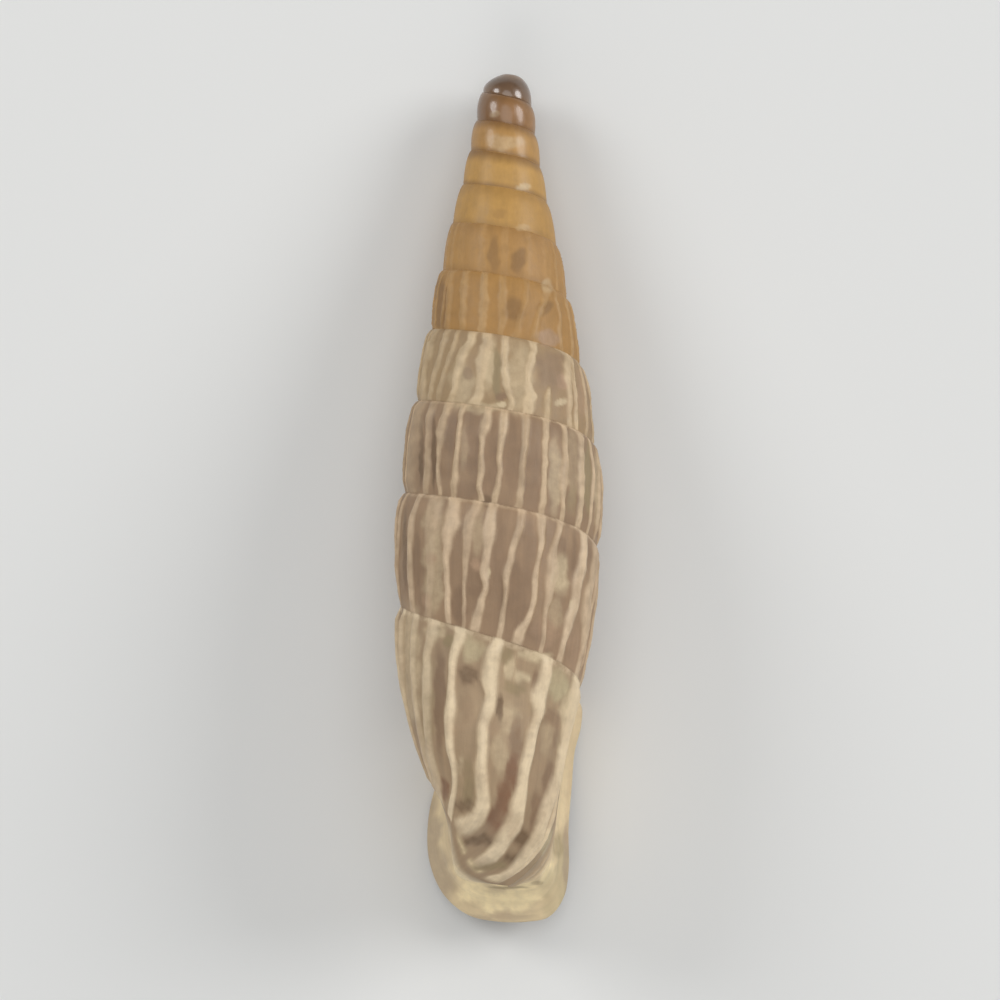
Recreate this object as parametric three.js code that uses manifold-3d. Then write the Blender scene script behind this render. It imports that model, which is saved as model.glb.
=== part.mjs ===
// Shell of a door snail, Albinaria eburnea, lying on its mouth side. Millimetres, +Z up.
//
// The shell is shaped about its own axis first, in three directions: x to the right and a towards
// the apex when its back is seen with the apex up, and d out of its back. Height a is 0 at the
// lowest point of the lip. A turn coordinate counts turns of the tube from the apex. Whole turns are
// on the left side, and a quarter, a half and three quarters are the back, the right side and the
// mouth side, because the shell coils to the left.

import * as THREE from 'three';
import Module from 'manifold-3d';

const wasm = await Module();
wasm.setup();

// Growth of the shell. In each row: turn, height of the suture, distance of the suture from the axis,
// swell of the whorl beyond the line between its two sutures, and place of the most swell, from 0 at
// the upper suture to 1 at the lower one. The rows after 10.5 turns are the base of the last whorl.
const GROWTH = [
  [0.0, 16.83, 0.0, 0.16, 0.42],
  [0.5, 16.75, 0.19, 0.14, 0.4],
  [1.25, 16.3, 0.4, 0.1, 0.38],
  [2.25, 15.73, 0.54, 0.08, 0.36],
  [3.25, 15.09, 0.66, 0.07, 0.35],
  [4.25, 14.37, 0.82, 0.07, 0.34],
  [5.25, 13.55, 1.03, 0.07, 0.33],
  [6.25, 12.53, 1.23, 0.08, 0.33],
  [7.25, 11.26, 1.46, 0.09, 0.33],
  [8.25, 9.72, 1.76, 0.12, 0.33],
  [9.25, 7.75, 1.96, 0.12, 0.33],
  [9.65, 6.82, 1.95, 0.12, 0.34],
  [10.0, 5.96, 1.9, 0.27, 0.5],
  [10.25, 5.07, 1.86, 0.46, 0.7],
  [10.5, 4.35, 1.72, 0.34, 0.7],
  [10.75, 3.6, 1.5, 0.34, 0.7],
  [11.0, 2.35, 1.13, 0.34, 0.7],
  [11.16, 1.62, 0.95, 0.34, 0.7],
  [11.25, 1.3, 0.67, 0.34, 0.7],
  [11.34, 0.85, 0.45, 0.34, 0.7],
  [11.5, 0.3, 0.48, 0.34, 0.7],
];
const SWELL_POWER = 0.72;
const WHORLS_END = 10.5;
// The underside of the whorls rounds over from the base line, in rows that are parts of the way to
// a point inside the neck.
const UNDERSIDE_HUB = [0.7, 2.1, -0.15];
const UNDERSIDE_ROWS = [0.22, 0.5];
const UNDERSIDE_ROUNDING = 0.45;

// Near its base the last whorl draws over to the left, to where it turns in behind the lip, and its
// ribs hook round with it.
const BASE_DRIFT = [[9.9, 0], [10.05, 0.06], [10.23, 0.52], [10.34, 0.5], [10.5, 0.34]];
const DRIFT_POWER = 6;
// The shell isn't quite straight: [height, how far its axis lies to the right].
const SWAY = [[0, 0], [6.6, 0], [8.2, 0.06], [10.5, 0.045], [12, 0], [14, -0.03], [17, -0.01]];

// Ribs. The angles of the crests seen on the back are in degrees to the right of its middle line,
// half-way down each whorl; where none are given, crests follow at an even spacing.
const RIB_START = 5.35;
const RIB_SPACING = 14;
const RIBS_ON_BACK = [
  { turn: 7.25, angles: [-72, -50, -31, -15, 1, 20, 33, 54] },
  { turn: 8.25, angles: [-70, -50, -40, -28, -12, 0, 12, 26, 40, 53, 68] },
  { turn: 9.25, angles: [-74, -59, -42, -30, -19, -7, 7, 22, 36, 54, 69] },
  { turn: 10.25, angles: [-76, -57, -31, -8, 12, 31, 58, 78] },
];
// Each table of the ribs goes by the turn: height and half width in mm, lean in turns from suture to
// suture, and place on the whorl from which they fade towards the lower suture.
const RIB_HEIGHT = [
  [5.2, 0], [6.2, 0.022], [7.2, 0.04], [8.2, 0.05],
  [9.8, 0.055], [10.2, 0.085], [10.6, 0.095],
];
const RIB_HALF_WIDTH = [[5.2, 0.05], [7.2, 0.055], [9.8, 0.065], [10.2, 0.09], [10.6, 0.1]];
const RIB_LEAN = [[5.2, 0], [7.5, 0.008], [8.5, 0.016], [9.3, 0.034], [10, 0.03], [10.3, 0.024], [10.5, 0]];
const RIB_FADE_FROM = [[9.5, 0.86], [9.9, 0.93]];
const RIB_FULL_FROM = 0.07;

// Vertices of the whorls: columns to a turn where there are no ribs, rows between the two sutures,
// and the least gap between two columns, in turns.
const SMOOTH_COLUMNS_PER_TURN = 16;
const ROWS = [0.06, 0.2, 0.4, 0.62, 0.82, 0.94];
const LEAST_GAP = 0.004;

// Lip, seen from the back: [x, a], from its upper right corner down the outer side to its lowest
// point, and then up the inner side and back to that corner.
const LIP_OUTER_SIDE = [
  [1.76, 4.42], [1.77, 4], [1.65, 3.45], [1.61, 2.8],
  [1.56, 1.9], [1.58, 1.05], [1.49, 0.48], [1.2, 0.08],
];
const LIP_INNER_SIDE = [
  [0.75, -0.03], [0.15, -0.03], [-0.42, 0.1], [-0.92, 0.52],
  [-1.21, 1.15], [-1.28, 1.85], [-1.17, 2.6], [-0.86, 3.32],
  [-0.36, 3.9], [0.35, 4.34], [1.05, 4.6], [1.52, 4.66],
];
const LIP_CENTRE = [0.28, 2.15];
// How far the lip stands out on the mouth side: at the axis, per millimetre of a and of x, and more
// towards its two sides, by the square of the distance from its middle.
const LIP_DEPTH = -2.4;
const LIP_DEPTH_SLOPE = { a: -0.02, x: 0.075 };
const LIP_BOW = { amount: -0.08, middle: 0.4 };
// Stations of the neck after the last whorl: [size as a part of the lip, depth from the lip's plane].
const NECK = [[0.72, 0.95], [0.76, 0.55], [0.87, 0.2], [0.98, 0.02], [1, -0.05], [0.97, -0.12]];
// The neck's first section runs back up beside the axis: [distance from the axis, height].
const NECK_INNER_LINE = [[-0.15, 1.2], [-0.1, 2.3], [0.25, 3.3], [0.95, 4]];
const NECK_INNER_POINTS = 14;
// It starts under the end of the whorls and comes out through it, and bends over this reach, in mm.
const NECK_SUNK = { turns: 0.06, depth: 0.06 };
const NECK_PROUD = 0.012;
const NECK_REACH = 0.7;
// Ribs of the neck: places along it, height in mm, half width along it and where they fade round it.
const NECK_RIBS = [0.2, 0.48, 0.76];
const NECK_RIB_HEIGHT = 0.08;
const NECK_RIB_HALF_WIDTH = 0.07;
const NECK_RIB_ENDS = { appear: [0.03, 0.12], fade: [0.5, 0.66] };

// Hollow of the tube, from the mouth up to the second turn. Its wall and the pillar round the axis are
// given as shares of the distance of the suture from the axis.
const WALL_SHARE = 0.08;
const WALL_LEAST = 0.06;
const PILLAR_SHARE = 0.16;
const HOLLOW_END = 1.6;
const HOLLOW_STEP = 1 / 7;
const HOLLOW_POINTS = 10;
const HOLLOW_SQUARENESS = 0.72;
// Thicker floor of the hollow in the last half turn: [turn, extra thickness].
const HOLLOW_FLOOR = [[9, 0], [9.7, 0.05], [10.1, 0.2], [10.5, 0.3]];
// The mouth's funnel is finer, and the rest of the hollow starts inside its inner end.
const FUNNEL_END = 10;
const FUNNEL_STEP = 1 / 12;
const FUNNEL_POINTS = 20;
const FUNNEL_OVERLAP = { turns: 0.1, inset: 0.03 };
// Stations of the mouth as in NECK, and the parts of the way from the last one to the whorl's hollow
// where the funnel has more rings.
const MOUTH = [[0.95, -0.5], [0.91, -0.14], [0.8, 0.06], [0.66, 0.4], [0.6, 0.9]];
const THROAT_RINGS = [0.3, 0.6];
// Ridges inside the mouth: [place round the hollow from 0 to 1, height], and their half width.
const LAMELLAE = [[0.9, 0.34], [0.7, 0.22]];
const LAMELLA_HALF_WIDTH = 0.06;

// How the shell lies: its axis dips towards the apex, in degrees.
const REST_PITCH = 7.88;

const TURN = 2 * Math.PI;
const { clamp, degToRad, inverseLerp, lerp, smoothstep } = THREE.MathUtils;

// Value of one column of a table at a position, on a smooth curve through its rows.
function along(table, position, column = 1) {
  const last = table.length - 1;
  const at = clamp(position, table[0][0], table[last][0]);
  const i = Math.max(0, table.findIndex((row) => row[0] >= at) - 1);
  const slope = (k) => {
    const before = table[Math.max(k - 1, 0)];
    const after = table[Math.min(k + 1, last)];
    return (after[column] - before[column]) / (after[0] - before[0]);
  };
  const span = table[i + 1][0] - table[i][0];
  const t = (at - table[i][0]) / span;
  return (
    (2 * t ** 3 - 3 * t ** 2 + 1) * table[i][column] +
    (t ** 3 - 2 * t ** 2 + t) * span * slope(i) +
    (3 * t ** 2 - 2 * t ** 3) * table[i + 1][column] +
    (t ** 3 - t ** 2) * span * slope(i + 1)
  );
}

// Point at an angle of a turn, a distance from the axis and a height.
function aroundAxis(turn, radius, height) {
  const angle = TURN * turn;
  return new THREE.Vector3(-radius * Math.cos(angle), height, radius * Math.sin(angle));
}

// Distance from the axis of the outside of a whorl: v is 0 at the upper suture and 1 at the lower one.
function whorlRadius(turn, v) {
  const middle = Math.log(0.5) / Math.log(along(GROWTH, turn, 4));
  const swell = Math.max(0, Math.sin(Math.PI * v ** middle)) ** SWELL_POWER;
  const straight = lerp(along(GROWTH, turn, 2), along(GROWTH, turn + 1, 2), v);
  return straight + along(GROWTH, turn, 3) * swell;
}

// Point on the outside of a whorl, raised by a relief.
function whorlPoint(turn, v, relief = 0) {
  const height = lerp(along(GROWTH, turn), along(GROWTH, turn + 1), v);
  const point = aroundAxis(turn, whorlRadius(turn, v) + relief, height);
  point.x += along(SWAY, height) - along(BASE_DRIFT, turn) * v ** DRIFT_POWER;
  return point;
}

// Point of the rounded underside of the last whorl: t is 0 on the base line and 1 at the hub.
function undersidePoint(turn, t) {
  const rim = whorlPoint(turn - 1, 1);
  const down = rim.clone().sub(whorlPoint(turn - 1, ROWS.at(-1)));
  const bend = rim.clone().add(down.setLength(UNDERSIDE_ROUNDING));
  return new THREE.QuadraticBezierCurve3(rim, bend, new THREE.Vector3(...UNDERSIDE_HUB)).getPoint(t);
}

// Share of its full height that a rib has on its way down the whorl: it fades out at both sutures.
function ribFade(turn, v) {
  const lower = 1 - smoothstep(v, along(RIB_FADE_FROM, turn), 1);
  return smoothstep(v, 0, RIB_FULL_FROM) * lower;
}

// Turns at which the ribs' crests stand, half-way down the whorl.
function ribCrests() {
  const seen = RIBS_ON_BACK.flatMap(({ turn, angles }) => angles.map((angle) => turn + angle / 360));
  const crests = [RIB_START];
  for (const next of seen) {
    const from = crests.at(-1);
    const count = Math.max(1, Math.round(((next - from) * 360) / RIB_SPACING));
    for (let k = 1; k <= count; k += 1) {
      crests.push(lerp(from, next, k / count));
    }
  }
  return crests;
}

// Columns of vertices from suture to suture: where there are ribs, one on each crest and each foot.
function whorlColumns() {
  const columns = [];
  const spacing = 1 / SMOOTH_COLUMNS_PER_TURN;
  for (let turn = spacing; turn < RIB_START - spacing / 2; turn += spacing) {
    columns.push({ turn, relief: 0 });
  }
  for (const crest of ribCrests()) {
    const half = along(RIB_HALF_WIDTH, crest) / (TURN * along(GROWTH, crest, 2));
    columns.push({ turn: crest - half, relief: 0 });
    columns.push({ turn: crest, relief: along(RIB_HEIGHT, crest) });
    columns.push({ turn: crest + half, relief: 0 });
  }
  columns.push({ turn: WHORLS_END, relief: 0 });
  return columns;
}

// A closed solid from points and triangles that face out or all face in.
function solidFrom(points, triangles) {
  let volume = 0;
  for (const [a, b, c] of triangles) {
    volume += points[a].dot(new THREE.Vector3().crossVectors(points[b], points[c]));
  }
  const outward = volume > 0 ? triangles : triangles.map(([a, b, c]) => [a, c, b]);
  const vertProperties = new Float32Array(points.flatMap((p) => [p.x, p.y, p.z]));
  const triVerts = new Uint32Array(outward.flat());
  return new wasm.Manifold(new wasm.Mesh({ numProp: 3, vertProperties, triVerts }));
}

// Triangles between two rows of vertices that run side by side, each with its own spacing.
function zip(upper, lower) {
  const triangles = [];
  let i = 0;
  let j = 0;
  while (i < upper.length - 1 || j < lower.length - 1) {
    const upperNext = i < upper.length - 1 ? upper[i + 1].at : Infinity;
    const lowerNext = j < lower.length - 1 ? lower[j + 1].at : Infinity;
    if (upperNext <= lowerNext) {
      triangles.push([upper[i].id, lower[j].id, upper[i + 1].id]);
      i += 1;
    } else {
      triangles.push([upper[i].id, lower[j].id, lower[j + 1].id]);
      j += 1;
    }
  }
  return triangles;
}

// Triangles between two rows of vertices that answer one another.
function strip(upper, lower) {
  const triangles = [];
  for (let i = 0; i < upper.length - 1; i += 1) {
    triangles.push([upper[i].id, lower[i].id, upper[i + 1].id]);
    triangles.push([upper[i + 1].id, lower[i].id, lower[i + 1].id]);
  }
  return triangles;
}

// Triangles from one vertex to each stretch of a line of vertices.
function fan(centre, line) {
  return line.slice(1).map(({ id }, k) => [centre.id, line[k].id, id]);
}

// The whorls as one solid: a band of columns wound from the apex, rounded over under the last whorl.
function whorls() {
  const points = [];
  const add = (point, at) => ({ id: points.push(point) - 1, at });
  const apex = add(new THREE.Vector3(0, GROWTH[0][1], 0), 0);
  const hub = add(new THREE.Vector3(...UNDERSIDE_HUB), 0);
  const columns = whorlColumns();
  const rowAt = (v, shift) =>
    columns.map(({ turn, relief }) => {
      const at = turn + along(RIB_LEAN, turn) * (0.5 - v);
      return add(whorlPoint(at, v, relief * ribFade(turn, v)), at + shift);
    });

  // Each row below the suture is one turn older than the suture that it hangs from.
  const rows = [rowAt(0, 0), ...ROWS.map((v) => rowAt(v, 1))];
  const [suture, lowest] = [rows[0], rows.at(-1)];
  const triangles = rows.slice(1).flatMap((row, k) => strip(rows[k], row));

  // The lower edge of each whorl is the suture of the next, and goes on along the base of the last.
  const firstSeam = suture.findIndex(({ at }) => at > 1 - LEAST_GAP);
  const baseLine = columns
    .map(({ turn }) => turn + 1 - along(RIB_LEAN, turn) / 2)
    .filter((at) => at > WHORLS_END + LEAST_GAP)
    .map((at) => add(whorlPoint(at - 1, 1), at));
  const seam = [...suture.slice(firstSeam), ...baseLine];
  triangles.push(...zip(lowest, seam));
  triangles.push(...fan(apex, [seam[0], ...rows.map((row) => row[0]).reverse()]));
  triangles.push(...fan(apex, suture.slice(0, firstSeam + 1)));

  // The underside, and the end of the last whorl, both drawn in to the hub.
  const rim = [suture.at(-1), ...baseLine];
  const underside = [rim, ...UNDERSIDE_ROWS.map((t) => rim.map(({ at }) => add(undersidePoint(at, t), at)))];
  triangles.push(...underside.slice(1).flatMap((row, k) => strip(underside[k], row)));
  triangles.push(...fan(hub, underside.at(-1).toReversed()));
  const end = [...underside.slice(1).reverse().map((row) => row[0]), ...rows.map((row) => row.at(-1))];
  triangles.push(...fan(hub, [...end, ...underside.map((row) => row.at(-1))]));
  return solidFrom(points, triangles);
}

// Closed outline of the lip, its outer side on the first half of the ring and its inner side on the rest.
const lipCurve = new THREE.CatmullRomCurve3(
  [...LIP_OUTER_SIDE, ...LIP_INNER_SIDE].map(([x, a]) => new THREE.Vector3(x, a, 0)),
  true,
);

function lipPoint(s, size, depth) {
  const outer = LIP_OUTER_SIDE.length;
  const inner = LIP_INNER_SIDE.length;
  const place = s < 0.5 ? 2 * s * outer : outer + (2 * s - 1) * inner;
  const edge = lipCurve.getPoint(place / (outer + inner));
  const x = lerp(LIP_CENTRE[0], edge.x, size);
  const a = lerp(LIP_CENTRE[1], edge.y, size);
  const plane = LIP_DEPTH + LIP_DEPTH_SLOPE.a * a + LIP_DEPTH_SLOPE.x * x;
  return new THREE.Vector3(x, a, plane + LIP_BOW.amount * (x - LIP_BOW.middle) ** 2 + depth);
}

// Tube through a list of rings, closed with a fan at each end.
function tube(rings) {
  const points = [];
  const add = (point) => ({ id: points.push(point) - 1 });
  const loops = rings.map((ring) => {
    const loop = ring.map(add);
    return [...loop, loop[0]];
  });
  const middles = [rings[0], rings.at(-1)].map((ring) => {
    const sum = ring.reduce((total, point) => total.add(point), new THREE.Vector3());
    return add(sum.divideScalar(ring.length));
  });
  const triangles = loops.slice(1).flatMap((loop, k) => strip(loops[k], loop));
  triangles.push(...fan(middles[0], loops[0]));
  triangles.push(...fan(middles[1], loops.at(-1).toReversed()));
  return solidFrom(points, triangles);
}

// Section of the last whorl at a turn: its outside, then a line back up beside the axis.
function neckSection(turn, sink) {
  const base = whorlPoint(turn, 1);
  const top = whorlPoint(turn, 0);
  const line = NECK_INNER_LINE.map(([radius, height]) => aroundAxis(turn, radius, height));
  const inside = new THREE.CatmullRomCurve3([base, ...line, top]);
  return (s) => (s <= 0.5 ? whorlPoint(turn, 2 * s, -sink) : inside.getPoint(2 * s - 1));
}

// Rings of the neck from the last whorl to the lip.
function neckRings() {
  const sunk = neckSection(WHORLS_END - NECK_SUNK.turns, NECK_SUNK.depth);
  const start = neckSection(WHORLS_END, -NECK_PROUD);
  const stations = NECK.map(([size, depth]) => (s) => lipPoint(s, size, depth));
  const ahead = new THREE.Vector3(0, 0, -NECK_REACH);
  const between = (s, t, relief) => {
    const [from, to] = [start(s), stations[0](s)];
    const curve = new THREE.CubicBezierCurve3(from, from.clone().add(ahead), to.clone().sub(ahead), to);
    const outward = lipPoint(s, 1, 0).sub(lipPoint(s, 0, 0)).normalize();
    const shown = smoothstep(s, ...NECK_RIB_ENDS.appear) * (1 - smoothstep(s, ...NECK_RIB_ENDS.fade));
    return curve.getPoint(t).addScaledVector(outward, relief * shown);
  };
  const rings = [sunk, start];
  for (const crest of NECK_RIBS) {
    rings.push((s) => between(s, crest - NECK_RIB_HALF_WIDTH, 0));
    rings.push((s) => between(s, crest, NECK_RIB_HEIGHT));
    rings.push((s) => between(s, crest + NECK_RIB_HALF_WIDTH, 0));
  }
  rings.push(...stations);
  const places = [0, ...ROWS, 1].map((v) => v / 2);
  for (let k = 1; k < NECK_INNER_POINTS; k += 1) {
    places.push(0.5 + k / (2 * NECK_INNER_POINTS));
  }
  return rings.map((ring) => places.map(ring));
}

// Section of the hollow inside a whorl.
function hollowSection(turn, inset = 0) {
  const reach = along(GROWTH, turn, 2);
  const wall = Math.max(WALL_LEAST, WALL_SHARE * reach) + inset;
  const pillar = PILLAR_SHARE * reach + inset;
  const ceiling = along(GROWTH, turn) - wall;
  const floor = along(GROWTH, turn + 1) + wall + along(HOLLOW_FLOOR, turn);
  const rounded = (value) => Math.sign(value) * Math.abs(value) ** HOLLOW_SQUARENESS;
  return (s) => {
    const angle = TURN * (0.25 - s);
    const v = 0.5 - 0.5 * rounded(Math.sin(angle));
    const outward = 0.5 + 0.5 * rounded(Math.cos(angle));
    const height = lerp(ceiling, floor, v);
    const place = inverseLerp(along(GROWTH, turn), along(GROWTH, turn + 1), height);
    const outer = Math.max(whorlRadius(turn, place) - wall, pillar + WALL_LEAST);
    const point = aroundAxis(turn, lerp(pillar, outer, outward), height);
    point.x += along(SWAY, height);
    return point;
  };
}

// Rings of a number of evenly spaced points, one for each section.
function ringsAt(sections, count) {
  const places = Array.from({ length: count }, (_, k) => k / count);
  return sections.map((section) => places.map(section));
}

// The funnel from in front of the lip into the last whorl.
function funnelRings() {
  const rings = MOUTH.map(([size, depth]) => (s) => {
    const point = lipPoint(s, size, depth);
    const heart = lipPoint(s, 0, depth);
    for (const [place, height] of depth > 0 ? LAMELLAE : []) {
      const near = Math.max(0, 1 - Math.abs(s - place) / LAMELLA_HALF_WIDTH);
      point.lerp(heart, (near * height) / point.distanceTo(heart));
    }
    return point;
  });
  const start = hollowSection(WHORLS_END);
  const throat = rings.at(-1);
  rings.push(...THROAT_RINGS.map((t) => (s) => throat(s).lerp(start(s), t)));
  for (let turn = WHORLS_END; turn > FUNNEL_END - FUNNEL_STEP / 2; turn -= FUNNEL_STEP) {
    rings.push(hollowSection(turn));
  }
  return ringsAt(rings, FUNNEL_POINTS);
}

// The rest of the hollow, up the coil.
function coilRings() {
  const rings = [hollowSection(FUNNEL_END + FUNNEL_OVERLAP.turns, FUNNEL_OVERLAP.inset)];
  rings.push(hollowSection(FUNNEL_END, FUNNEL_OVERLAP.inset));
  for (let turn = FUNNEL_END - HOLLOW_STEP; turn > HOLLOW_END; turn -= HOLLOW_STEP) {
    rings.push(hollowSection(turn));
  }
  return ringsAt(rings, HOLLOW_POINTS);
}

// The solid as a mesh geometry, turned as it lies.
function geometryOf(solid) {
  const { vertProperties, triVerts, numProp } = solid.getMesh();
  const geometry = new THREE.BufferGeometry();
  const positions = new Float32Array((vertProperties.length / numProp) * 3);
  for (let i = 0; i < positions.length / 3; i += 1) {
    positions.set(vertProperties.subarray(numProp * i, numProp * i + 3), 3 * i);
  }
  geometry.setAttribute('position', new THREE.BufferAttribute(positions, 3));
  geometry.setIndex(new THREE.BufferAttribute(new Uint32Array(triVerts), 1));
  geometry.rotateX(degToRad(-REST_PITCH));
  return geometry;
}

const outside = whorls().add(tube(neckRings()));
const shellGeometry = geometryOf(outside.subtract(tube(funnelRings())).subtract(tube(coilRings())));
shellGeometry.computeBoundingBox();
const box = shellGeometry.boundingBox;

const shell = new THREE.Mesh(
  shellGeometry,
  new THREE.MeshStandardMaterial({ color: 0xb59a78, roughness: 0.45, metalness: 0 }),
);
shell.name = 'shell';
shell.position.set(-(box.min.x + box.max.x) / 2, -(box.min.y + box.max.y) / 2, -box.min.z);

const part = new THREE.Group();
part.add(shell);

export default part;
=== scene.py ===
"""Looks of a door snail's shell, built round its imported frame. Metres, +Z up.

The shell is worked out about its own axis in millimetres, in three directions: x to the right and a
towards the apex when its back is seen with the apex up, and d out of its back. Height a is 0 near the
lowest point of the lip. A turn coordinate counts turns of the tube from the apex: whole turns are on
the left side, and a quarter, a half and three quarters are the back, the right side and the mouth
side. Across a whorl, v runs from 0 at its upper suture to 1 at its lower one. A step outside these
directions is only taken at the end, when the points are laid in the frame.
"""

import logging
import math
from dataclasses import dataclass, field
from enum import Enum
from typing import Any, Sequence

import bpy
import numpy as np
from mathutils import Matrix, Vector
from mathutils.kdtree import KDTree

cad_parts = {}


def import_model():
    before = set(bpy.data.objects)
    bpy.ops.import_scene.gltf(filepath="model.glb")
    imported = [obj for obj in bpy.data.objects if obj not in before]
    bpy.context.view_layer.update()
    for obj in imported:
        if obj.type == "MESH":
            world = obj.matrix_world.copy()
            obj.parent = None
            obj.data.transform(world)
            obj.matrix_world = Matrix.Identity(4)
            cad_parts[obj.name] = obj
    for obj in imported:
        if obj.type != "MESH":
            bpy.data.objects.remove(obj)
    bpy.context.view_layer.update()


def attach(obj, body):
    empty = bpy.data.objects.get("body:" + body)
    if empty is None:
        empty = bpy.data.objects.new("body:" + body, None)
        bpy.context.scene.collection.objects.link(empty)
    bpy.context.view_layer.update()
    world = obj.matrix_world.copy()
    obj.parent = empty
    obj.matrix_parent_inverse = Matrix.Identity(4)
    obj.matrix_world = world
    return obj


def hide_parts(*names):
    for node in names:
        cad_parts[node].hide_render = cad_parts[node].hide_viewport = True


log = logging.getLogger("shell")

Array = np.ndarray
Table = Sequence[Sequence[float]]
Path = Sequence[tuple[float, float]]

MM = 0.001
SEED = 7

# How the shell lies in the frame: its axis dips towards the apex, and its own origin is placed here.
REST_PITCH = math.radians(7.88)
PLACE = np.array([-0.0254, -8.1498, 3.1997])


def hermite(start: Array, leave: Array, end: Array, arrive: Array, t: Array) -> Array:
    """Place between two others on a curve that leaves and arrives at given speeds, at t from 0 to 1."""
    first = (2 * t**3 - 3 * t**2 + 1) * start + (t**3 - 2 * t**2 + t) * leave
    return first + (3 * t**2 - 2 * t**3) * end + (t**3 - t**2) * arrive


def along(table: Table, position: Array, column: int = 1) -> Array:
    """Reads a table on a smooth curve through its rows.

    Args:
        table: Rows that start with their position.
        position: Where to read it.
        column: The column to read.

    Returns:
        The values there. Outside the table, those of its ends.
    """
    rows = np.asarray(table, float)
    keys, values = rows[:, 0], rows[:, column]
    before = np.maximum(np.arange(len(keys)) - 1, 0)
    after = np.minimum(np.arange(len(keys)) + 1, len(keys) - 1)
    slopes = (values[after] - values[before]) / (keys[after] - keys[before])
    at = np.clip(position, keys[0], keys[-1])
    i = np.clip(np.searchsorted(keys, at) - 1, 0, len(keys) - 2)
    span = keys[i + 1] - keys[i]
    return hermite(values[i], span * slopes[i], values[i + 1], span * slopes[i + 1], (at - keys[i]) / span)


def smoothstep(value: Array, low: float, high: float) -> Array:
    """Rises smoothly from 0 at low to 1 at high, or falls where low is the greater."""
    t = np.clip((value - low) / (high - low), 0, 1)
    return t * t * (3 - 2 * t)


def lerp(start: Array, end: Array, t: Array) -> Array:
    """A value between two others, at t from 0 to 1."""
    return start + (end - start) * t


def bezier(points: Sequence[Array], t: float) -> Array:
    """Point of a Bezier curve at t from 0 to 1. Each control point may be an array of points."""
    last = len(points) - 1
    return sum(math.comb(last, k) * (1 - t) ** (last - k) * t**k * p for k, p in enumerate(points))


def wander(rng: np.random.Generator, count: int, knots: int, places: Array) -> Array:
    """Random values that change smoothly along each of a number of lines.

    Args:
        rng: Source of the random numbers.
        count: How many lines.
        knots: How many random values each line has.
        places: Places on the lines, from 0 to 1.

    Returns:
        Values from -1 to 1, one row for each line and one column for each place.
    """
    values = rng.uniform(-1, 1, (count, knots))
    steps = np.linspace(0, 1, knots)
    table = np.column_stack([steps, values.T])
    return np.stack([along(table, places, line + 1) for line in range(count)])


@dataclass(frozen=True)
class PhotoView:
    """How the photograph looks at the shell: from straight behind its back, tilted and rolled a little."""

    tilt: float = math.radians(9.0)
    roll: float = math.radians(1.21)
    pixels_per_mm: float = 50.0
    origin: tuple[float, float] = (489.4, 902.8)
    width: int = 1000
    focus_depth: float = 0.6
    distance: float = 0.6
    clip: float = 0.06
    sensor: float = 36.0

    def pixels(self, points: Array) -> Array:
        """Pixels of points given in the shell's own directions."""
        x, a, d = points[..., 0], points[..., 1], points[..., 2]
        up = a * math.cos(self.tilt) + d * math.sin(self.tilt)
        right = x * math.cos(self.roll) + up * math.sin(self.roll)
        up = -x * math.sin(self.roll) + up * math.cos(self.roll)
        return np.stack(
            [self.origin[0] + self.pixels_per_mm * right, self.origin[1] - self.pixels_per_mm * up], -1
        )

    def axes(self) -> Matrix:
        """The picture's right, up and towards the viewer, as the columns of a matrix in the frame."""
        turned = Matrix.Rotation(self.tilt - REST_PITCH, 3, "X")
        return turned @ Matrix.Rotation(self.roll, 3, "Z")

    def camera(self) -> bpy.types.Object:
        """Makes the camera, with a long lens that frames what the photograph frames."""
        middle = self.width / 2
        right = (middle - self.origin[0]) / self.pixels_per_mm
        up = (self.origin[1] - middle) / self.pixels_per_mm
        axes = self.axes()
        focus = axes @ Vector((right, up, self.focus_depth)) + Vector(PLACE)
        data = bpy.data.cameras.new("camera")
        data.sensor_width = self.sensor
        data.lens = self.distance * self.sensor / (self.width / self.pixels_per_mm * MM)
        data.clip_start = self.clip
        camera = bpy.data.objects.new("camera", data)
        back = axes @ Vector((0, 0, self.distance))
        camera.matrix_world = Matrix.Translation(focus * MM + back) @ axes.to_4x4()
        bpy.context.scene.collection.objects.link(camera)
        return camera


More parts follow.
